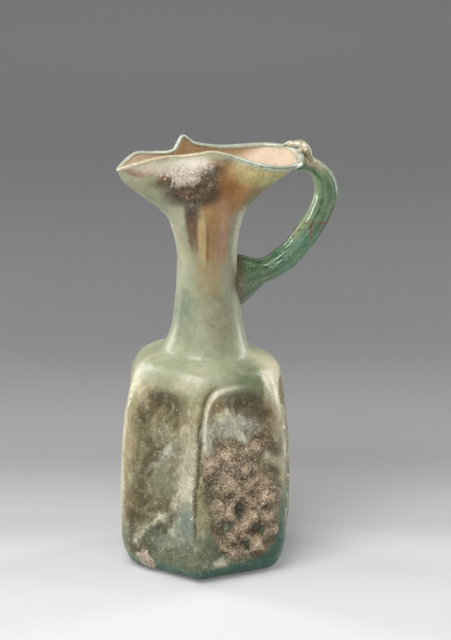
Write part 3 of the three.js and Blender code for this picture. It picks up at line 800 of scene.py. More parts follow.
# The strap's middle line: shares of the way from the neck out to the reach, and from the foot to
# the head
HANDLE_REACH = 53.4
HANDLE_FOOT_HEIGHT = NECK_HEIGHT - 10.5
HANDLE_HEAD_RISE = 1.4
HANDLE_HEAD_END = 1.0
HANDLE_TUCK = 6.0
HANDLE_SHAPE = [
    (0.31, 0.075), (0.45, 0.125), (0.582, 0.194), (0.716, 0.298), (0.836, 0.42), (0.935, 0.549),
    (0.993, 0.676), (1, 0.784), (0.96, 0.884), (0.871, 0.963),
]
HANDLE_THICKNESS = 10.6
HANDLE_HEAD_THICKNESS = 6.6
HANDLE_WIDTH = 12.4
HANDLE_HEAD_WIDTH = 10.4
HANDLE_FOOT_SPREAD = 7.5
HANDLE_SPREAD_TO = 0.09
HANDLE_NARROWS = (0.6, 0.9)
HANDLE_REEDS = 11
HANDLE_MESH = (190, 80)


def tube(name, points, half_thick, half_wide, sideways, fineness, shape, marks=None):
    """A trail of glass of oval section along a line of points, closed at both ends."""
    steps, sides = fineness
    places = np.linspace(0, 1, steps + 1)
    line = spline(points, places)
    ahead, behind = np.minimum(1, places + SHORT_STEP), np.maximum(0, places - SHORT_STEP)
    along = unit(spline(points, ahead) - spline(points, behind))
    sideways = np.asarray(sideways, float)
    wide = unit(sideways - (along @ sideways)[:, None] * along)
    thick = np.cross(wide, along)
    turns = np.linspace(0, 2 * math.pi, sides, endpoint=False)
    rows = []
    for i, place in enumerate(places):
        scale = shape(place, turns)
        row = line[i] + thick[i] * (half_thick(place) * np.cos(turns) * scale)[:, None]
        row = row + wide[i] * (half_wide(place) * np.sin(turns) * scale)[:, None]
        rows.append(row)
    points = np.concatenate(rows)
    faces = grid_faces(steps + 1, sides)
    faces += end_faces(len(points), len(points) + 1, steps * sides, sides)
    points = np.vstack([points, rows[0].mean(0), rows[-1].mean(0)])
    around = np.concatenate([np.tile(turns, steps + 1), [0, 0]])
    written = {key: paint(points, around) for key, paint in (marks or {}).items()}
    return make_mesh(name, points, faces, written)


def build_handle():
    """The strap: from its splayed foot on the neck out and up to the lip, reeded along its length."""
    head = coil_middle(np.array([0.0]))[0]
    head[2] += HANDLE_HEAD_RISE - COIL_RADIUS - HANDLE_HEAD_THICKNESS / 2
    points = [(NECK_RADIUS - 3, 0, HANDLE_FOOT_HEIGHT)]
    for out, up in HANDLE_SHAPE:
        x = mix(NECK_RADIUS, HANDLE_REACH, out)
        points.append((x, 0, mix(HANDLE_FOOT_HEIGHT, head[2], up)))
    points.append((head[0] + HANDLE_HEAD_END, head[1], head[2]))
    points.append((head[0] - HANDLE_TUCK / 2, head[1], head[2]))

    def spread(t):
        return HANDLE_FOOT_SPREAD * (1 - smooth(0, HANDLE_SPREAD_TO, t))

    def narrowing(t):
        return smooth(*HANDLE_NARROWS, t)

    def half_thick(t):
        return mix(HANDLE_THICKNESS, HANDLE_HEAD_THICKNESS, narrowing(t)) / 2 + spread(t)

    def half_wide(t):
        return mix(HANDLE_WIDTH, HANDLE_HEAD_WIDTH, narrowing(t)) / 2

    def reeds(t, turns):
        fade = smooth(0.03, 0.15, t)
        fine = 0.022 * np.cos(HANDLE_REEDS * turns + 3 * t)
        uneven = 0.03 * np.sin(14 * t + turns) + 0.02 * np.sin(37 * t + 2 * turns)
        return 1 + fade * (fine + uneven)

    def inner_edge_highlight(points, turns):
        return smooth(0.55, 0.95, -np.cos(turns)) * smooth(138, 150, points[:, 2])

    def reeding(points, turns):
        return 0.5 + 0.5 * np.cos(HANDLE_REEDS * turns + 0.9)

    def upper(points, turns):
        at_head = smooth(168, 174, points[:, 2]) * smooth(54, 49, points[:, 0])
        return smooth(-0.3, 0.4, np.cos(turns)) * at_head

    def outer_edge_highlight(points, turns):
        return smooth(0.8, 0.97, np.cos(turns)) * smooth(135, 150, points[:, 2])

    marks = {"inner_edge_highlight": inner_edge_highlight, "outer_edge_highlight": outer_edge_highlight, "reeding": reeding, "upper": upper}
    return tube("handle_strap", points, half_thick, half_wide, (0, 1, 0), HANDLE_MESH, reeds, marks)


THUMB_REST_HEIGHT = 4.2
THUMB_REST_RADIUS = 1.75
THUMB_REST_SPAN = 24.0
THUMB_REST_MESH = (80, 32)
THUMB_REST_END_MESH = (50, 24)


def folds(t, turns):
    return 1 + 0.1 * np.sin(2 * turns + 1.5 * t) + 0.03 * np.sin(3 * turns - 3 * t)


def build_thumb_rest():
    """The folded trail: a loop over the rim, and the end drawn down on to the strap."""
    span, edge = math.radians(THUMB_REST_SPAN), COIL_RADIUS

    def over(share, dx, dy, dz):
        return coil_middle(np.array([span * share]))[0] + np.array([dx, dy, dz])

    loop = [
        over(0, edge + 1.5, 0.5, -edge),
        over(0, edge + 0.8, -0.3, 1.6),
        over(0.05, 1.1, 0.2, THUMB_REST_HEIGHT),
        over(0.4, 0.7, 0, THUMB_REST_HEIGHT * 0.98),
        over(0.7, 0.4, 0, THUMB_REST_HEIGHT * 0.66),
        over(0.9, 0, 0, THUMB_REST_HEIGHT * 0.48),
        over(1.2, 0, 0, 0),
    ]
    drawn = [
        over(0.3, 0, -1.5, 1.2),
        over(0.1, 0.6, -1.8, 2.8),
        over(0, 2.0, -2.6, 2.4),
        over(0, 2.9, -3.0, 0.4),
        over(0, 3.9, -3.2, -1.4),
        over(0, 5.2, -3.0, -2.4),
    ]

    def radius(t):
        return THUMB_REST_RADIUS * (1 - 0.45 * t**2) * (0.9 + 0.15 * math.sin(3 * math.pi * t) ** 2)

    def thin(t):
        return 0.8 * THUMB_REST_RADIUS * (1 - 0.35 * t)

    def wide(t):
        return radius(t) * 1.25

    def thin_wide(t):
        return thin(t) * 1.2

    first = tube("thumb_rest_loop", loop, radius, wide, (1, 0, 0), THUMB_REST_MESH, folds)
    second = tube("thumb_rest_end", drawn, thin, thin_wide, (0, 1, 0), THUMB_REST_END_MESH, folds)
    return first, second


def slab(name, top, bottom, keep, marks):
    """A cake of soil from a grid of top and bottom points: the kept cells, closed at the sides."""
    rows, columns = top.shape[:2]
    points = np.concatenate([top.reshape(-1, 3), bottom.reshape(-1, 3)])
    under = rows * columns
    faces = []
    index = np.arange(rows * columns).reshape(rows, columns)

    def kept(i, j):
        return 0 <= i < rows - 1 and 0 <= j < columns - 1 and keep[i, j]

    for i in range(rows - 1):
        for j in range(columns - 1):
            if not keep[i, j]:
                continue
            a, b, c, d = index[i, j], index[i, j + 1], index[i + 1, j + 1], index[i + 1, j]
            faces.append((a, b, c, d))
            faces.append((a + under, d + under, c + under, b + under))
            for down, along, p, q in ((-1, 0, b, a), (1, 0, d, c), (0, -1, a, d), (0, 1, c, b)):
                if not kept(i + down, j + along):
                    faces.append((p, q, q + under, p + under))
    used = np.unique(np.array(faces))
    renumber = np.zeros(len(points), int)
    renumber[used] = np.arange(len(used))
    written = {}
    for key, values in marks.items():
        below = np.zeros(under) if key == "grainy" else values.ravel()
        written[key] = np.concatenate([values.ravel(), below])[used]
    return make_mesh(name, points[used], renumber[np.array(faces)].tolist(), written)


# Thickness of the soil over the glass: at its least and at its most, how deep its underside lies,
# the mean thickness under which a cell is left out, and a cell's width
SOIL_THINNEST = -0.35
SOIL_THICKEST = 2.4
SOIL_UNDERSIDE = 0.8
SOIL_EDGE = -0.25
SOIL_CELL = 0.36
# The soil on the mouth: its middle and half size round in degrees and along the flare; the soil on
# the heel: its middle and half size round in radians and along the curve; and how thick each gets
MOUTH_SOIL_MIDDLE = (240, 0.62)
MOUTH_SOIL_HALF = (35, 0.33)
MOUTH_SOIL_THICKEST = 0.75
HEEL_SOIL_MIDDLE = (-0.24, 0.52)
HEEL_SOIL_HALF = (0.13, 0.25)
HEEL_SOIL_THICKEST = 0.85


def cake(name, base, away, lifted, thick, marks):
    """A cake of soil on the glass, of a thickness in millimetres that sinks under it at the edges."""
    top = base + away * (lifted + np.clip(thick, SOIL_THINNEST, SOIL_THICKEST))[..., None]
    bottom = base + away * (lifted - SOIL_UNDERSIDE)[..., None]
    cell = (thick[:-1, :-1] + thick[1:, :-1] + thick[:-1, 1:] + thick[1:, 1:]) / 4
    marks["grainy"] = smooth(0, 0.3, thick) * (1 - 0.97 * marks["dark"])
    return slab(name, top, bottom, cell > SOIL_EDGE, marks)


def along_at(height):
    places = np.linspace(0, 1, 2001)
    return np.interp(height, spline(SIDE_PROFILE, places)[:, 1], places)


def face_middle(face):
    return math.radians(HEX_TURN + 60 * (face + 0.5))


def outline_depth(x, y, outline):
    """How far places lie inside a closed outline, and how far outside it as a negative number."""
    corners = spline(outline, np.linspace(0, 1, 120, endpoint=False), closed=True)
    nearest = np.full(x.shape, FAR)
    within = np.zeros(x.shape, bool)
    for start, end in zip(corners, np.roll(corners, -1, axis=0)):
        nearest = np.minimum(nearest, off_line(x, y, start, end))
        crosses = (start[1] > y) != (end[1] > y)
        run, rise = end - start
        rise = rise if abs(rise) > TINY else TINY
        within ^= crosses & (x < start[0] + (y - start[1]) / rise * run)
    return np.where(within, nearest, -nearest)


# The soil on the lattice panel, across the face and up: its outline, its bare hollows with their half
# width and half height, and its knobs with their half width
LATTICE_SOIL_OUTLINE = [
    (19, 43.5), (13, 45), (8, 48.5), (6.5, 53), (9.5, 55.5), (13, 58), (11, 61.5), (7.8, 63), (2, 62),
    (-3.4, 61.5), (-7.9, 63.6), (-11.4, 61.5), (-15, 58.5), (-18.4, 56), (-17.6, 48), (-16.9, 39),
    (-14.8, 33), (-13.1, 28.8), (-11.1, 21.3), (-7.4, 14.4), (-2, 10.2), (3, 9), (9.1, 9.4), (12.5, 12),
    (15.1, 16.1), (17, 20.3), (16.4, 26), (15.6, 31), (18.6, 37),
]
BARE_HOLLOWS = [(-0.4, 32, 2.6, 3.6), (-6.9, 25, 4.0, 2.6), (10.3, 21.8, 3.6, 2.6), (3.2, 16, 2.4, 3.2)]
SOIL_KNOBS = [
    (-6.7, 57.5, 4.0), (-15.6, 55, 3.4), (8.2, 59.9, 3.0), (2, 50.5, 2.4), (-7.6, 43.5, 4.2),
    (10.5, 40.5, 3.8), (14, 36, 2.6), (-12, 36, 2.6), (-6, 32, 2.4), (1, 26, 2.4), (13, 27.5, 2.6),
    (7, 28, 2.4), (-2.8, 14, 3.0), (8.6, 15, 2.6), (15.5, 21, 2.2),
]


def soil_edge(points):
    """How the soil's edge wanders, from about -0.5 to 0.5."""
    return rough_noise(points, 6.0, SOIL_EDGE_SEED, 4) - 0.5


def bare_hollows(across, height, wander):
    """1 in the hollows of the lattice that the soil leaves free."""
    bare = np.zeros(across.shape)
    for x, y, wide, tall in BARE_HOLLOWS:
        narrowing = wide * (0.7 + 0.3 * np.clip((height - y) / tall, -1, 1))
        away = np.hypot((across - x) / narrowing, (height - y) / tall) + 1.6 * wander
        bare = np.maximum(bare, 1 - smooth(0.5, 1.5, away))
    return bare


def build_lattice_soil():
    """The cake on the lattice panel, thick on its knobs and, low down, on the ridges."""
    columns, rows = np.arange(-18.6, 18.7, SOIL_CELL), np.arange(8.0, 66.0, SOIL_CELL)
    across, height = np.meshgrid(columns, rows)
    angle = face_middle(LATTICE_FACE) + np.arctan(across / (BODY_ACROSS / 2))
    base = body_point(angle, height)
    away = body_normal(angle, height)
    lifted, masks = glass_relief(base, angle)
    ridge = masks["ridge"]
    wander = soil_edge(base)
    depth = outline_depth(across, height, LATTICE_SOIL_OUTLINE) + 8.0 * wander - 0.5
    bare = bare_hollows(across, height, wander)
    grit = rough_noise(base, 1.7, SOIL_GRIT_SEED) - 0.5
    patchy = rough_noise(base, 9.0, SOIL_PATCH_SEED) - 0.5
    knob = np.zeros(across.shape)
    for x, y, wide in SOIL_KNOBS:
        knob = np.maximum(knob, np.exp(-((across - x) ** 2 + (height - y) ** 2) / wide**2))
    lower = smooth(48, 36, height)
    thick = 0.5 * np.clip(depth / 5, -1, 1) + 0.9 * grit + 0.5 * patchy - 1.6 * bare + 2.0 * knob - 0.1
    thick = thick + lower * (0.7 * ridge - 0.35)
    # Painted light and shade: paler on the ridges and knobs, darker low down and in the hollows, mixed
    # with the grit's tone
    crest_light_and_tone = 0.9 * ridge * smooth(56, 40, height) + 0.8 * knob + 0.9 * grit + 0.15 - 0.45 * lower
    crest_light_and_tone = smooth(0.35, 1.1, crest_light_and_tone)
    marks = {"crest_light_and_tone": crest_light_and_tone, "pale": smooth(0.0, 1.0, thick), "dark": 0 * ridge, "sandy": 0 * ridge}
    return cake("soil_cake_lattice", base, away, lifted, thick, marks)


def body_normal(angle, height):
    step = 0.2
    turn = step / BODY_ACROSS
    around = body_point(angle + turn, height) - body_point(angle - turn, height)
    up = body_point(angle, height + step) - body_point(angle, height - step)
    return unit(np.cross(around, up))


def build_mouth_soil():
    """The dark cake under the lip, sandy along its upper edge."""
    angles, places = np.radians(np.arange(208, 288, 0.9)), np.linspace(0.25, 0.95, 64)
    angle, along = np.meshgrid(angles, places)
    base = mouth_point(angle, along)
    away = normal(mouth_point, angle, along)
    lifted = unevenness(base)
    x = (np.degrees(angle) - MOUTH_SOIL_MIDDLE[0]) / MOUTH_SOIL_HALF[0]
    y = (along - MOUTH_SOIL_MIDDLE[1]) / MOUTH_SOIL_HALF[1]
    grit = rough_noise(base, 2.0, MOUTH_GRIT_SEED, 4) - 0.5
    patchy = rough_noise(base, 7.0, MOUTH_PATCH_SEED) - 0.5
    thick = 0.7 * (1 - x**2 - y**2) + 1.5 * grit + 0.9 * patchy - 0.3
    thick = np.clip(thick, SOIL_THINNEST, MOUTH_SOIL_THICKEST)
    sandy = smooth(0.0, 0.5, y - 0.5 * x + 0.6 * patchy)
    marks = {"crest_light_and_tone": 0.4 + 0 * x, "pale": sandy, "dark": 1 - sandy, "sandy": 1 + 0 * x}
    return cake("soil_cake_mouth", base, away, lifted, thick, marks)


def build_heel_soil():
    """The small cake on the heel under the lozenge."""
    middle = face_middle(LOZENGE_FACE) + HEEL_SOIL_MIDDLE[0]
    angles, places = middle + np.linspace(-0.2, 0.2, 60), np.linspace(0.2, 0.85, 44)
    angle, along = np.meshgrid(angles, places)
    base = heel_point(angle, along)
    away = normal(heel_point, angle, along)
    x = (angle - middle) / HEEL_SOIL_HALF[0]
    y = (along - HEEL_SOIL_MIDDLE[1]) / HEEL_SOIL_HALF[1]
    grit = rough_noise(base, 2.0, HEEL_GRIT_SEED, 4) - 0.5
    thick = 0.8 * (1 - x**2 - y**2) + 1.2 * grit
    thick = np.clip(thick, SOIL_THINNEST, HEEL_SOIL_THICKEST)
    lifted, _ = glass_relief(base, angle)
    marks = {"crest_light_and_tone": 1 + 0 * x, "pale": 1 + 0 * x, "dark": 0 * x, "sandy": 0.6 + 0 * x}
    return cake("soil_cake_heel", base, away, lifted, thick, marks)


class Nodes:
    """Builds a node tree: inputs are numbers or other nodes' outputs."""

    def __init__(self, tree):
        self.tree = tree

    def put(self, socket, value):
        if isinstance(value, bpy.types.NodeSocket):
            self.tree.links.new(value, socket)
        else:
            socket.default_value = value

    def add(self, kind, inputs=None, **settings):
        node = self.tree.nodes.new(kind)
        for key, value in settings.items():
            setattr(node, key, value)
        for key, value in (inputs or {}).items():
            self.put(node.inputs[key], value)
        return node

    def combine(self, operation, a, b, clamp=False):
        inputs = {0: a, 1: b}
        return self.add("ShaderNodeMath", inputs, operation=operation, use_clamp=clamp).outputs[0]

    times = partialmethod(combine, "MULTIPLY")
    plus = partialmethod(combine, "ADD")
    minus = partialmethod(combine, "SUBTRACT")
    larger = partialmethod(combine, "MAXIMUM")

    def blend(self, factor, a, b):
        return self.add("ShaderNodeMix", {0: factor, 6: a, 7: b}, data_type="RGBA").outputs[2]

    def coat(self, color, mask, tint, strength=1.0):
        """A colour with a film of another over it where the mask is 1."""
        covered = mask if strength == 1 else self.times(mask, strength)
        return self.blend(covered, color, srgb(*tint))

    def ramp(self, value, low, high):
        inputs = {0: value, 1: low, 2: high, 3: 0.0, 4: 1.0}
        return self.add("ShaderNodeMapRange", inputs, interpolation_type="SMOOTHSTEP").outputs[0]

    def mark(self, name):
        return self.add("ShaderNodeAttribute", attribute_name=name).outputs["Fac"]

    def speckle(self, place, scale, detail, roughness):
        inputs = {"Vector": place, "Scale": scale, "Detail": detail, "Roughness": roughness}
        return self.add("ShaderNodeTexNoise", inputs).outputs[0]

    def object_place(self):
        return self.add("ShaderNodeTexCoord").outputs["Object"]


def grain_tree():
    """Geometry nodes that strew small grains over a surface where its mark says so."""
    tree = bpy.data.node_groups.new("strewn_grains", "GeometryNodeTree")
    labels = (
        ("Surface", "NodeSocketGeometry"),
        ("Density", "NodeSocketFloat"),
        ("Smallest", "NodeSocketFloat"),
        ("Largest", "NodeSocketFloat"),
        ("Seed", "NodeSocketInt"),
        ("Material", "NodeSocketMaterial"),
    )
    for label, kind in labels:
        tree.interface.new_socket(label, in_out="INPUT", socket_type=kind)
    tree.interface.new_socket("Grains", in_out="OUTPUT", socket_type="NodeSocketGeometry")
    nodes = Nodes(tree)
    given = nodes.add("NodeGroupInput").outputs
    mark = nodes.add("GeometryNodeInputNamedAttribute", {"Name": "grainy"}, data_type="FLOAT")
    spread = {"Mesh": given["Surface"], "Density": nodes.times(mark.outputs[0], given["Density"])}
    spread["Seed"] = given["Seed"]
    spots = nodes.add("GeometryNodeDistributePointsOnFaces", spread, distribute_method="RANDOM")
    grain = nodes.add("GeometryNodeMeshIcoSphere", {"Radius": 1.0, "Subdivisions": 1}).outputs[0]
    limits = {2: given["Smallest"], 3: given["Largest"], "Seed": given["Seed"]}
    size = nodes.add("FunctionNodeRandomValue", limits, data_type="FLOAT").outputs[1]
    turns = {1: (6.28, 6.28, 6.28)}
    turn = nodes.add("FunctionNodeRandomValue", turns, data_type="FLOAT_VECTOR").outputs[0]
    placed = {"Points": spots.outputs[0], "Instance": grain, "Rotation": turn, "Scale": size}
    strewn = nodes.add("GeometryNodeInstanceOnPoints", placed).outputs[0]
    real = nodes.add("GeometryNodeRealizeInstances", {0: strewn}).outputs[0]
    coated = nodes.add("GeometryNodeSetMaterial", {"Geometry": real, "Material": given["Material"]})
    tree.links.new(coated.outputs[0], nodes.add("NodeGroupOutput").inputs[0])
    return tree


# Grains to the square millimetre where they lie thickest, smallest and largest radius in
# millimetres, seed
STREWN = {
    "sand_on_lattice": (1.8, 0.1, 0.24, 3),
    "sand_on_mouth": (2.0, 0.1, 0.24, 5),
    "sand_on_heel": (1.2, 0.1, 0.22, 7),
    "grit_on_glass": (1.8, 0.14, 0.34, 9),
}


def strew(name, surface, material):
    """Grains on a piece, as a plain mesh of their own."""
    per_square_mm, smallest, largest, seed = STREWN[name]
    modifier = surface.modifiers.new("grains", "NODES")
    modifier.node_group = GRAINS
    values = {
        "Density": per_square_mm / MM**2,
        "Smallest": smallest * MM,
        "Largest": largest * MM,
        "Seed": seed,
        "Material": material,
    }
    for item in GRAINS.interface.items_tree:
        if item.in_out == "INPUT" and item.name in values:
            modifier[item.identifier] = values[item.name]
    found = surface.evaluated_get(bpy.context.evaluated_depsgraph_get())
    mesh = bpy.data.meshes.new_from_object(found)
    surface.modifiers.remove(modifier)
    mesh.name = name
    grains = bpy.data.objects.new(name, mesh)
    bpy.context.scene.collection.objects.link(grains)
    return grains


def new_group(name, inputs, outputs):
    group = bpy.data.node_groups.new(name, "ShaderNodeTree")
    for label, kind, value in inputs:
        socket = group.interface.new_socket(label, in_out="INPUT", socket_type=kind)
        if value is not None:
            socket.default_value = value
    for label, kind in outputs:
        group.interface.new_socket(label, in_out="OUTPUT", socket_type=kind)
    nodes = Nodes(group)
    return group, nodes, nodes.add("NodeGroupInput").outputs, nodes.add("NodeGroupOutput")


def ragged_patch_group():
    """A soft mask made ragged at its edge by noise, as weathering spreads on glass."""
    inputs = [
        ("Mask", "NodeSocketFloat", 0.0),
        ("Size", "NodeSocketFloat", 300.0),
        ("Ragged", "NodeSocketFloat", 0.6),
        ("Edge", "NodeSocketFloat", 0.2),
    ]
    group, nodes, given, out = new_group("ragged_patch", inputs, [("Patch", "NodeSocketFloat")])
    wave = nodes.speckle(nodes.object_place(), given["Size"], 5.0, 0.7)
    shift = nodes.times(nodes.minus(wave, 0.5), given["Ragged"])
    moved = nodes.plus(given["Mask"], shift)
    low = nodes.minus(0.5, given["Edge"])
    high = nodes.plus(0.5, given["Edge"])
    within = nodes.ramp(given["Mask"], 0.0, 0.3)
    group.links.new(nodes.times(nodes.ramp(moved, low, high), within), out.inputs["Patch"])
    return group


def ground_grain_group():
    """Dark pits, pale grains and soft mottling, as on glass that lay in the ground."""
    inputs = [
        ("Color", "NodeSocketColor", None),
        ("Pit Color", "NodeSocketColor", None),
        ("Grain Color", "NodeSocketColor", None),
        ("Pits", "NodeSocketFloat", 0.5),
        ("Grains", "NodeSocketFloat", 0.5),
        ("Mottling", "NodeSocketFloat", 0.5),
    ]
    outputs = [
        ("Color", "NodeSocketColor"),
        ("Height", "NodeSocketFloat"),
        ("Dullness", "NodeSocketFloat"),
    ]
    group, nodes, given, out = new_group("ground_grain", inputs, outputs)
    place = nodes.object_place()
    cloud = nodes.speckle(place, 260.0, 4.0, 0.65)
    streaks = nodes.add("ShaderNodeMapping", {"Vector": place, "Scale": (1.0, 1.0, 0.6)}).outputs[0]
    drawn = nodes.speckle(streaks, 330.0, 3.0, 0.6)
    cloud = nodes.times(nodes.plus(cloud, drawn), 0.5)
    dim = nodes.times(nodes.ramp(cloud, 0.52, 0.36), given["Mottling"])
    bright = nodes.times(nodes.ramp(cloud, 0.5, 0.66), given["Mottling"])
    color = nodes.blend(dim, given["Color"], given["Pit Color"])
    color = nodes.blend(bright, color, given["Grain Color"])
    fine = nodes.speckle(place, 1000.0, 2.0, 0.7)
    clusters = nodes.ramp(nodes.speckle(place, 110.0, 3.0, 0.6), 0.38, 0.62)
    pits = nodes.times(nodes.ramp(fine, 0.47, 0.36), given["Pits"])
    pits = nodes.times(pits, nodes.minus(1.5, clusters), clamp=True)
    color = nodes.blend(pits, color, given["Pit Color"])
    specks = nodes.speckle(place, 1200.0, 2.0, 0.7)
    grains = nodes.times(nodes.ramp(specks, 0.54, 0.64), given["Grains"])
    grains = nodes.times(grains, nodes.times(clusters, 1.5), clamp=True)
    color = nodes.blend(grains, color, given["Grain Color"])
    group.links.new(color, out.inputs["Color"])
    raised = nodes.minus(nodes.plus(grains, nodes.times(cloud, 0.7)), pits)
    group.links.new(raised, out.inputs["Height"])
    dull = nodes.minus(nodes.times(pits, 0.3), nodes.times(grains, 0.14))
    group.links.new(dull, out.inputs["Dullness"])
    return group


RAGGED = ragged_patch_group()
GROUND_GRAIN = ground_grain_group()
GRAINS = grain_tree()
PIT_COLOUR = (66, 56, 34)
GRAIN_COLOUR = (232, 230, 208)
BUMP_DEPTH = 0.0006


# How each glass lets light through and shines
BODY_SHINE = {
    "Transmission Weight": 0.12,
    "IOR": 1.48,
    "Subsurface Weight": 0.4,
    "Subsurface Radius": (1.0, 1.0, 0.6),
    "Subsurface Scale": 0.004,
    "Coat Weight": 0.12,
    "Coat Roughness": 0.2,
    "Sheen Weight": 0.35,
    "Sheen Roughness": 0.3,
    "Sheen Tint": srgb(244, 236, 206),
}
LIP_SHINE = {
    "Transmission Weight": 0.25,
    "Coat Weight": 0.6,
    "Coat Roughness": 0.06,
}
HANDLE_SHINE = {
    "Transmission Weight": 0.35,
    "Coat Weight": 0.7,
    "Coat Roughness": 0.06,
    "Sheen Weight": 0.3,
    "Sheen Roughness": 0.3,
    "Sheen Tint": srgb(214, 240, 204),
}
THUMB_REST_SHINE = {
    "Transmission Weight": 0.2,
    "Coat Weight": 0.7,
    "Coat Roughness": 0.06,
}


def empty_material(name):
    material = bpy.data.materials.new(name)
    material.use_nodes = True
    material.node_tree.nodes.clear()
    return material, Nodes(material.node_tree)


def start_material(name, shine):
    """A material with its shader, set to let light through and shine as told."""
    material, nodes = empty_material(name)
    shader = nodes.add("ShaderNodeBsdfPrincipled", shine)
    output = nodes.add("ShaderNodeOutputMaterial")
    material.node_tree.links.new(shader.outputs[0], output.inputs[0])
    return material, nodes, shader


def patch(nodes, mask, size, ragged=0.6, edge=0.2):
    """A mask with a ragged edge: the noise's scale, its reach at the edge, and the edge's softness."""
    group = nodes.add("ShaderNodeGroup", node_tree=RAGGED)
    for key, value in (("Mask", mask), ("Size", size), ("Ragged", ragged), ("Edge", edge)):
        nodes.put(group.inputs[key], value)
    return group.outputs[0]


def finish(nodes, shader, color, pits, grains, mottling, rough, bump, tints=(PIT_COLOUR, GRAIN_COLOUR)):
    """Runs a colour through the ground's grain into the shader, with its bump and roughness."""
    values = {
        "Color": color,
        "Pit Color": srgb(*tints[0]),
        "Grain Color": srgb(*tints[1]),
        "Pits": pits,
        "Grains": grains,
        "Mottling": mottling,
    }
    group = nodes.add("ShaderNodeGroup", node_tree=GROUND_GRAIN)
    for key, value in values.items():
        nodes.put(group.inputs[key], value)
    nodes.put(shader.inputs["Base Color"], group.outputs["Color"])
    dull = nodes.plus(group.outputs["Dullness"], rough, clamp=True)
    nodes.put(shader.inputs["Roughness"], dull)
    relief = {"Height": group.outputs["Height"], "Strength": bump, "Distance": BUMP_DEPTH}
    nodes.put(shader.inputs["Normal"], nodes.add("ShaderNodeBump", relief).outputs[0])


def body_glass():
    material, nodes, shader = start_material("weathered_body_glass", BODY_SHINE)
    z = nodes.add("ShaderNodeSeparateXYZ", {0: nodes.object_place()}).outputs["Z"]
    sunk, ridge, inside = nodes.mark("sunk"), nodes.mark("ridge"), nodes.mark("inside")
    on_body = nodes.ramp(z, 0.092, 0.076)
    cloud = nodes.ramp(nodes.speckle(nodes.object_place(), 60.0, 4.0, 0.6), 0.35, 0.65)
    frame_tone = nodes.blend(cloud, srgb(162, 152, 106), srgb(190, 182, 138))
    neck_tone = nodes.blend(cloud, srgb(164, 168, 136), srgb(184, 186, 156))
    color = nodes.blend(on_body, neck_tone, frame_tone)
    # The sunk fields darker olive: partly their own weathering, partly painted shade in the recess
    field_tone_and_shade = patch(nodes, nodes.mark("deep"), 110.0, 0.5, 0.5)
    color = nodes.coat(color, field_tone_and_shade, (122, 110, 66))
    # Ridges in the fields paler: partly their weathering, partly painted light on the crests
    crest_light_and_tone = patch(nodes, nodes.times(ridge, sunk), 260.0, 0.9, 0.5)
    color = nodes.coat(color, crest_light_and_tone, (180, 172, 136), 0.7)
    low = patch(nodes, nodes.ramp(z, 0.040, 0.006), 90.0, 0.6, 0.5)
    color = nodes.coat(color, low, (98, 116, 84), 0.85)
    heel = patch(nodes, nodes.ramp(z, 0.012, 0.0), 150.0, 0.7, 0.45)
    color = nodes.coat(color, heel, (40, 112, 84))
    # Painted light: the body's corners paler, as its edges catch the light
    painted_corner_light = patch(nodes, nodes.mark("corner"), 200.0, 0.5, 0.4)
    painted_corner_light = nodes.times(painted_corner_light, nodes.ramp(z, 0.02, 0.05))
    color = nodes.coat(color, painted_corner_light, (226, 216, 172), 0.5)
    # Films over the colour, among them painted shadow, highlights, edge light and glow
    for name, (tint, _) in FILMS.items():
        size, ragged = FLECKS if name in FLECKED else COATS
        film = patch(nodes, nodes.mark(name), size, ragged, 0.45)
        color = nodes.coat(color, film, tint, 0.9)
    # Painted light on the raised strokes and painted shade in the dents between them
    color = nodes.coat(color, nodes.mark("painted_stroke_light"), (192, 184, 142), 0.3)
    color = nodes.coat(color, nodes.mark("painted_dent_shade"), (84, 76, 44), 0.3)
    # Painted shade inside the top of each arch, kept off the painted edge light
    arch = nodes.minus(nodes.mark("painted_arch_shade"), nodes.mark("painted_edge_light"), clamp=True)
    arch = patch(nodes, arch, 200.0, 0.5, 0.45)
    color = nodes.coat(color, arch, (90, 78, 40), 0.85)
    color = nodes.coat(color, nodes.mark("bare_hollow"), (76, 84, 54))
    # Painted highlight: the bead's crest near-white
    color = nodes.coat(color, nodes.mark("bead"), (255, 252, 228), 0.9)
    # Painted shade in the crease by the front corner and in the groove beside the bead
    color = nodes.coat(color, nodes.mark("crease"), (80, 70, 34))
    dust = patch(nodes, nodes.mark("soil_film"), 420.0, 1.3, 0.3)
    # The dust film darker in the lattice's hollows and paler on its ridges: painted shade and light
    # over the dust's own tone
    dust_tone_and_relief_shade = nodes.blend(ridge, srgb(122, 104, 70), srgb(192, 164, 128))
    color = nodes.blend(nodes.times(dust, 0.85), color, dust_tone_and_relief_shade)
    color = nodes.coat(color, inside, (232, 207, 180))
    gritty = nodes.mark("soil_film")
    for name, share in (("umber_crust", 0.4), ("yellow_film", 0.7)):
        gritty = nodes.larger(gritty, nodes.times(nodes.mark(name), share))
    bright = nodes.minus(1.0, nodes.times(nodes.mark("teal_glass"), 0.8))
    calm = nodes.plus(nodes.times(nodes.times(on_body, bright), 0.2), 0.02)
    grit = nodes.plus(calm, nodes.times(gritty, 0.5))
    pits = nodes.plus(grit, nodes.times(on_body, 0.15))
    mottling = nodes.plus(nodes.times(on_body, 0.26), 0.12)
    mottling = nodes.plus(mottling, nodes.times(gritty, 0.15))
    mottling = nodes.times(mottling, bright)
    rough = nodes.minus(0.34, nodes.times(on_body, 0.16))
    rough = nodes.plus(rough, nodes.times(inside, 0.3))
    rough = nodes.plus(rough, nodes.times(gritty, 0.1))
    finish(nodes, shader, color, pits, grit, mottling, rough, 0.85)
    return material


def lip_glass():
    material, nodes, shader = start_material("lip_glass", LIP_SHINE)
    color = nodes.blend(nodes.mark("cream"), srgb(216, 226, 204), srgb(244, 226, 190))
    # Painted shade in the coil's groove
    color = nodes.coat(color, nodes.mark("crease"), (104, 124, 88), 0.8)
    finish(nodes, shader, color, 0.35, 0.4, 0.2, 0.14, 0.3)
    return material


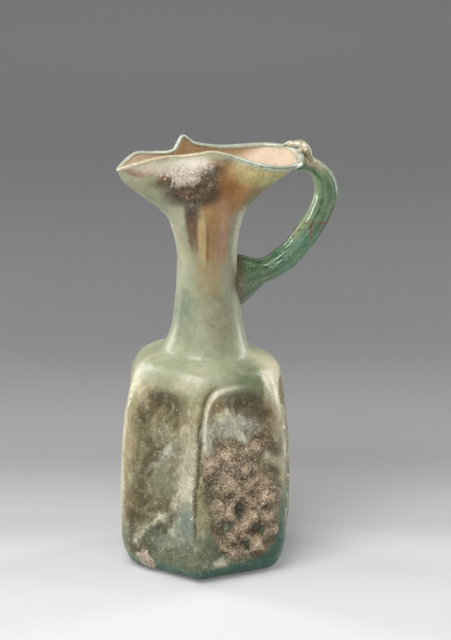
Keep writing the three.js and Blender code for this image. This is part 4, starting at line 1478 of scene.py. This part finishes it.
def handle_glass():
    material, nodes, shader = start_material("green_handle_glass", HANDLE_SHINE)
    x, _, z = nodes.add("ShaderNodeSeparateXYZ", {0: nodes.object_place()}).outputs
    reeds = nodes.times(nodes.mark("reeding"), 0.4)
    color = nodes.blend(reeds, srgb(78, 116, 74), srgb(152, 184, 140))
    bend = nodes.times(nodes.ramp(z, 0.152, 0.144), nodes.ramp(x, 0.026, 0.032))
    bend = patch(nodes, bend, 150.0)
    color = nodes.coat(color, bend, (64, 146, 108), 0.5)
    color = nodes.coat(color, nodes.mark("upper"), (206, 190, 154))
    foot = patch(nodes, nodes.ramp(x, 0.021, 0.011), 200.0, 0.8, 0.5)
    color = nodes.coat(color, foot, (104, 92, 60))
    # Painted highlights along the strap's outer and inner edges
    color = nodes.coat(color, nodes.mark("outer_edge_highlight"), (222, 238, 214))
    color = nodes.coat(color, nodes.mark("inner_edge_highlight"), (188, 214, 160))
    low = nodes.times(nodes.ramp(z, 0.157, 0.152), nodes.ramp(z, 0.140, 0.146))
    specks = nodes.ramp(nodes.speckle(nodes.object_place(), 320.0, 2.0, 0.6), 0.56, 0.64)
    color = nodes.coat(color, nodes.times(specks, low), (146, 72, 50))
    finish(nodes, shader, color, 0.5, 0.3, 0.25, 0.12, 0.45, ((58, 76, 40), (186, 206, 160)))
    return material


def thumb_glass():
    material, nodes, shader = start_material("thumb_rest_glass", THUMB_REST_SHINE)
    streak = nodes.ramp(nodes.speckle(nodes.object_place(), 140.0, 2.0, 0.6), 0.4, 0.6)
    color = nodes.blend(streak, srgb(150, 142, 106), srgb(236, 226, 198))
    finish(nodes, shader, color, 0.4, 0.3, 0.15, 0.14, 0.25)
    return material


def soil_material():
    material, nodes, shader = start_material("burial_soil", {"Coat Weight": 0.08})
    crest_light_and_tone, pale, dark = nodes.mark("crest_light_and_tone"), nodes.mark("pale"), nodes.mark("dark")
    cloud = nodes.ramp(nodes.speckle(nodes.object_place(), 200.0, 5.0, 0.7), 0.34, 0.62)
    # The soil's tone: painted light on its crests and painted shade in its hollows, with its own patchy
    # cloud
    tone = nodes.plus(nodes.times(cloud, 0.4), nodes.times(crest_light_and_tone, 0.6))
    color = nodes.blend(tone, srgb(88, 72, 44), srgb(220, 190, 158))
    color = nodes.coat(color, pale, (214, 190, 160), 0.15)
    crust = nodes.blend(cloud, srgb(58, 42, 26), srgb(112, 88, 60))
    color = nodes.blend(dark, color, crust)
    color = nodes.coat(color, nodes.times(pale, nodes.mark("sandy")), (214, 200, 184))
    grains = nodes.minus(0.8, nodes.times(dark, 0.74))
    finish(nodes, shader, color, 0.7, grains, 0.2, 0.5, 1.0, ((76, 62, 36), (240, 224, 190)))
    return material


def grain_material():
    """Sharp sand: each grain takes its tone from a noise coarser than itself."""
    material, nodes, shader = start_material("sand_grains", {"Roughness": 0.25})
    tone = nodes.ramp(nodes.speckle(nodes.object_place(), 900.0, 1.0, 0.5), 0.38, 0.62)
    color = nodes.blend(tone, srgb(124, 102, 72), srgb(250, 238, 214))
    nodes.put(shader.inputs["Base Color"], color)
    return material


def glassy_grit():
    """Pale flakes of weathered glass that stand along the crease and the panels' ridges."""
    material, nodes, shader = start_material("glassy_grit", {"Roughness": 0.1})
    tone = nodes.ramp(nodes.speckle(nodes.object_place(), 700.0, 1.0, 0.5), 0.4, 0.6)
    color = nodes.blend(tone, srgb(196, 190, 152), srgb(252, 248, 228))
    nodes.put(shader.inputs["Base Color"], color)
    return material


def dress(piece, slot, *nodes, material=None):
    """Gives a piece its material and body, and hides the part's nodes that it stands for; slot is not
    used.
    """
    if material:
        piece.data.materials.append(material)
    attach(piece, "root")
    if nodes:
        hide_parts(*nodes)
    return piece


soil, sand = soil_material(), grain_material()
jug = build_vessel()
dress(build_rim(), "lip_glass", "rim_coil", material=lip_glass())
dress(build_handle(), "handle_glass", "handle", material=handle_glass())
thumb = thumb_glass()
for strand in build_thumb_rest():
    dress(strand, "handle_glass", "thumb_rest", material=thumb)
lattice_soil, mouth_soil, heel_soil = build_lattice_soil(), build_mouth_soil(), build_heel_soil()
lattice_sand = strew("sand_on_lattice", lattice_soil, sand)
mouth_sand = strew("sand_on_mouth", mouth_soil, sand)
heel_sand = strew("sand_on_heel", heel_soil, sand)
glass_grit = strew("grit_on_glass", jug, glassy_grit())
dress(jug, "body_glass", "vessel", material=body_glass())
dress(lattice_soil, "soil", "soil_on_lattice_panel", material=soil)
dress(mouth_soil, "soil", "soil_on_mouth", material=soil)
dress(heel_soil, "soil", "soil_on_heel", material=soil)
for strewn in (lattice_sand, mouth_sand, heel_sand, glass_grit):
    dress(strewn, "soil")


# The floor is one graded sheet: its tones at distances in millimetres toward the viewer from the
# jug's axis, half its width, and the share of its tone that the lamps give; the rest is its own
# glow
FLOOR_STOPS = [
    (-1411, 0.41),
    (-645, 0.244),
    (-340, 0.241),
    (-136, 0.344),
    (-40, 0.51),
    (10, 0.675),
    (60, 0.77),
]
FLOOR_HALF = 4000.0
FLOOR_LIT_SHARE = 0.8

# Soft boxes: how far right, toward the viewer and up each stands and its size, in millimetres,
# and its power
SOFT_BOXES = {
    "top_box": ((-250, 450, 1050), (600, 600), 10.5),
    "left_box": ((-760, -420, 250), (260, 1100), 6.0),
    "right_box": ((760, -420, 250), (260, 1100), 6.0),
    "front_fill": ((-500, 1200, 700), (700, 700), 2.4),
}
LAMP_AIM = Vector((0, 0, 100))
ROOM_LIGHT = 0.18


def view_directions():
    azimuth, elevation = math.radians(VIEW_AZIMUTH), math.radians(VIEW_ELEVATION)
    right = Vector((math.cos(azimuth), math.sin(azimuth), 0))
    level = Vector((math.sin(azimuth), -math.cos(azimuth), 0))
    back = level * math.cos(elevation) + Vector((0, 0, math.sin(elevation)))
    return right, level, back


def build_floor():
    right, level, _ = view_directions()
    corners = []
    for a, b in ((-1, -1), (1, -1), (1, 1), (-1, 1)):
        corners.append(tuple((right * a + level * -b) * FLOOR_HALF))
    floor = make_mesh("floor", corners, [(0, 1, 2, 3)])
    material, nodes = empty_material("graded_floor")
    along = {0: nodes.object_place(), 1: tuple(level)}
    toward = nodes.add("ShaderNodeVectorMath", along, operation="DOT_PRODUCT").outputs["Value"]
    first, last = FLOOR_STOPS[0][0] * MM, FLOOR_STOPS[-1][0] * MM
    share = nodes.add("ShaderNodeMapRange", {0: toward, 1: first, 2: last}).outputs[0]
    ramp = nodes.add("ShaderNodeValToRGB", {0: share})
    ramp.color_ramp.interpolation = "EASE"
    stops = ramp.color_ramp.elements
    while len(stops) < len(FLOOR_STOPS):
        stops.new(0.5)
    for stop, (distance, tone) in zip(stops, FLOOR_STOPS):
        stop.position = (distance * MM - first) / (last - first)
        stop.color = (tone, tone, tone, 1)
    path = nodes.add("ShaderNodeLightPath").outputs
    seen = nodes.larger(path["Is Camera Ray"], path["Is Glossy Ray"])
    seen = nodes.larger(seen, path["Is Transmission Ray"])
    paper = nodes.add("ShaderNodeBsdfDiffuse", {"Color": ramp.outputs[0]})
    glow = nodes.add("ShaderNodeEmission", {"Color": ramp.outputs[0], "Strength": 1.0})
    amount = nodes.times(seen, 1 - FLOOR_LIT_SHARE)
    both = nodes.add("ShaderNodeMixShader", {0: amount, 1: paper.outputs[0], 2: glow.outputs[0]})
    output = nodes.add("ShaderNodeOutputMaterial")
    material.node_tree.links.new(both.outputs[0], output.inputs[0])
    floor.data.materials.append(material)


def soft_box(name, place, size, power):
    """A lamp with a lit rectangle that faces the jug."""
    data = bpy.data.lights.new(name, "AREA")
    data.shape = "RECTANGLE"
    data.size, data.size_y = size[0] * MM, size[1] * MM
    data.energy = power
    lamp = bpy.data.objects.new(name, data)
    lamp.location = place * MM
    lamp.rotation_mode = "QUATERNION"
    lamp.rotation_quaternion = (place - LAMP_AIM).to_track_quat("Z", "Y")
    bpy.context.scene.collection.objects.link(lamp)


def build_lights():
    right, level, _ = view_directions()
    up = Vector((0, 0, 1))
    for name, ((aside, toward, high), size, power) in SOFT_BOXES.items():
        soft_box(name, right * aside + level * toward + up * high, size, power)
    world = bpy.data.worlds.new("studio")
    world.use_nodes = True
    background = world.node_tree.nodes["Background"]
    background.inputs[0].default_value = (1, 1, 1, 1)
    background.inputs[1].default_value = ROOM_LIGHT
    bpy.context.scene.world = world


def build_camera():
    right, _, back = view_directions()
    aim = Vector((0, 0, VIEW_AIM_HEIGHT))
    up = back.cross(right)
    place = aim + back * VIEW_DISTANCE
    target = aim + right * VIEW_AIM_RIGHT + up * VIEW_AIM_UP
    data = bpy.data.cameras.new("camera")
    data.sensor_fit = "AUTO"
    data.sensor_width = SENSOR
    data.lens = LENS
    camera = bpy.data.objects.new("camera", data)
    camera.location = place * MM
    camera.rotation_mode = "QUATERNION"
    camera.rotation_quaternion = (place - target).to_track_quat("Z", "Y")
    bpy.context.scene.collection.objects.link(camera)
    bpy.context.scene.camera = camera


build_floor()
build_lights()
build_camera()
bpy.context.scene.view_settings.view_transform = "Standard"
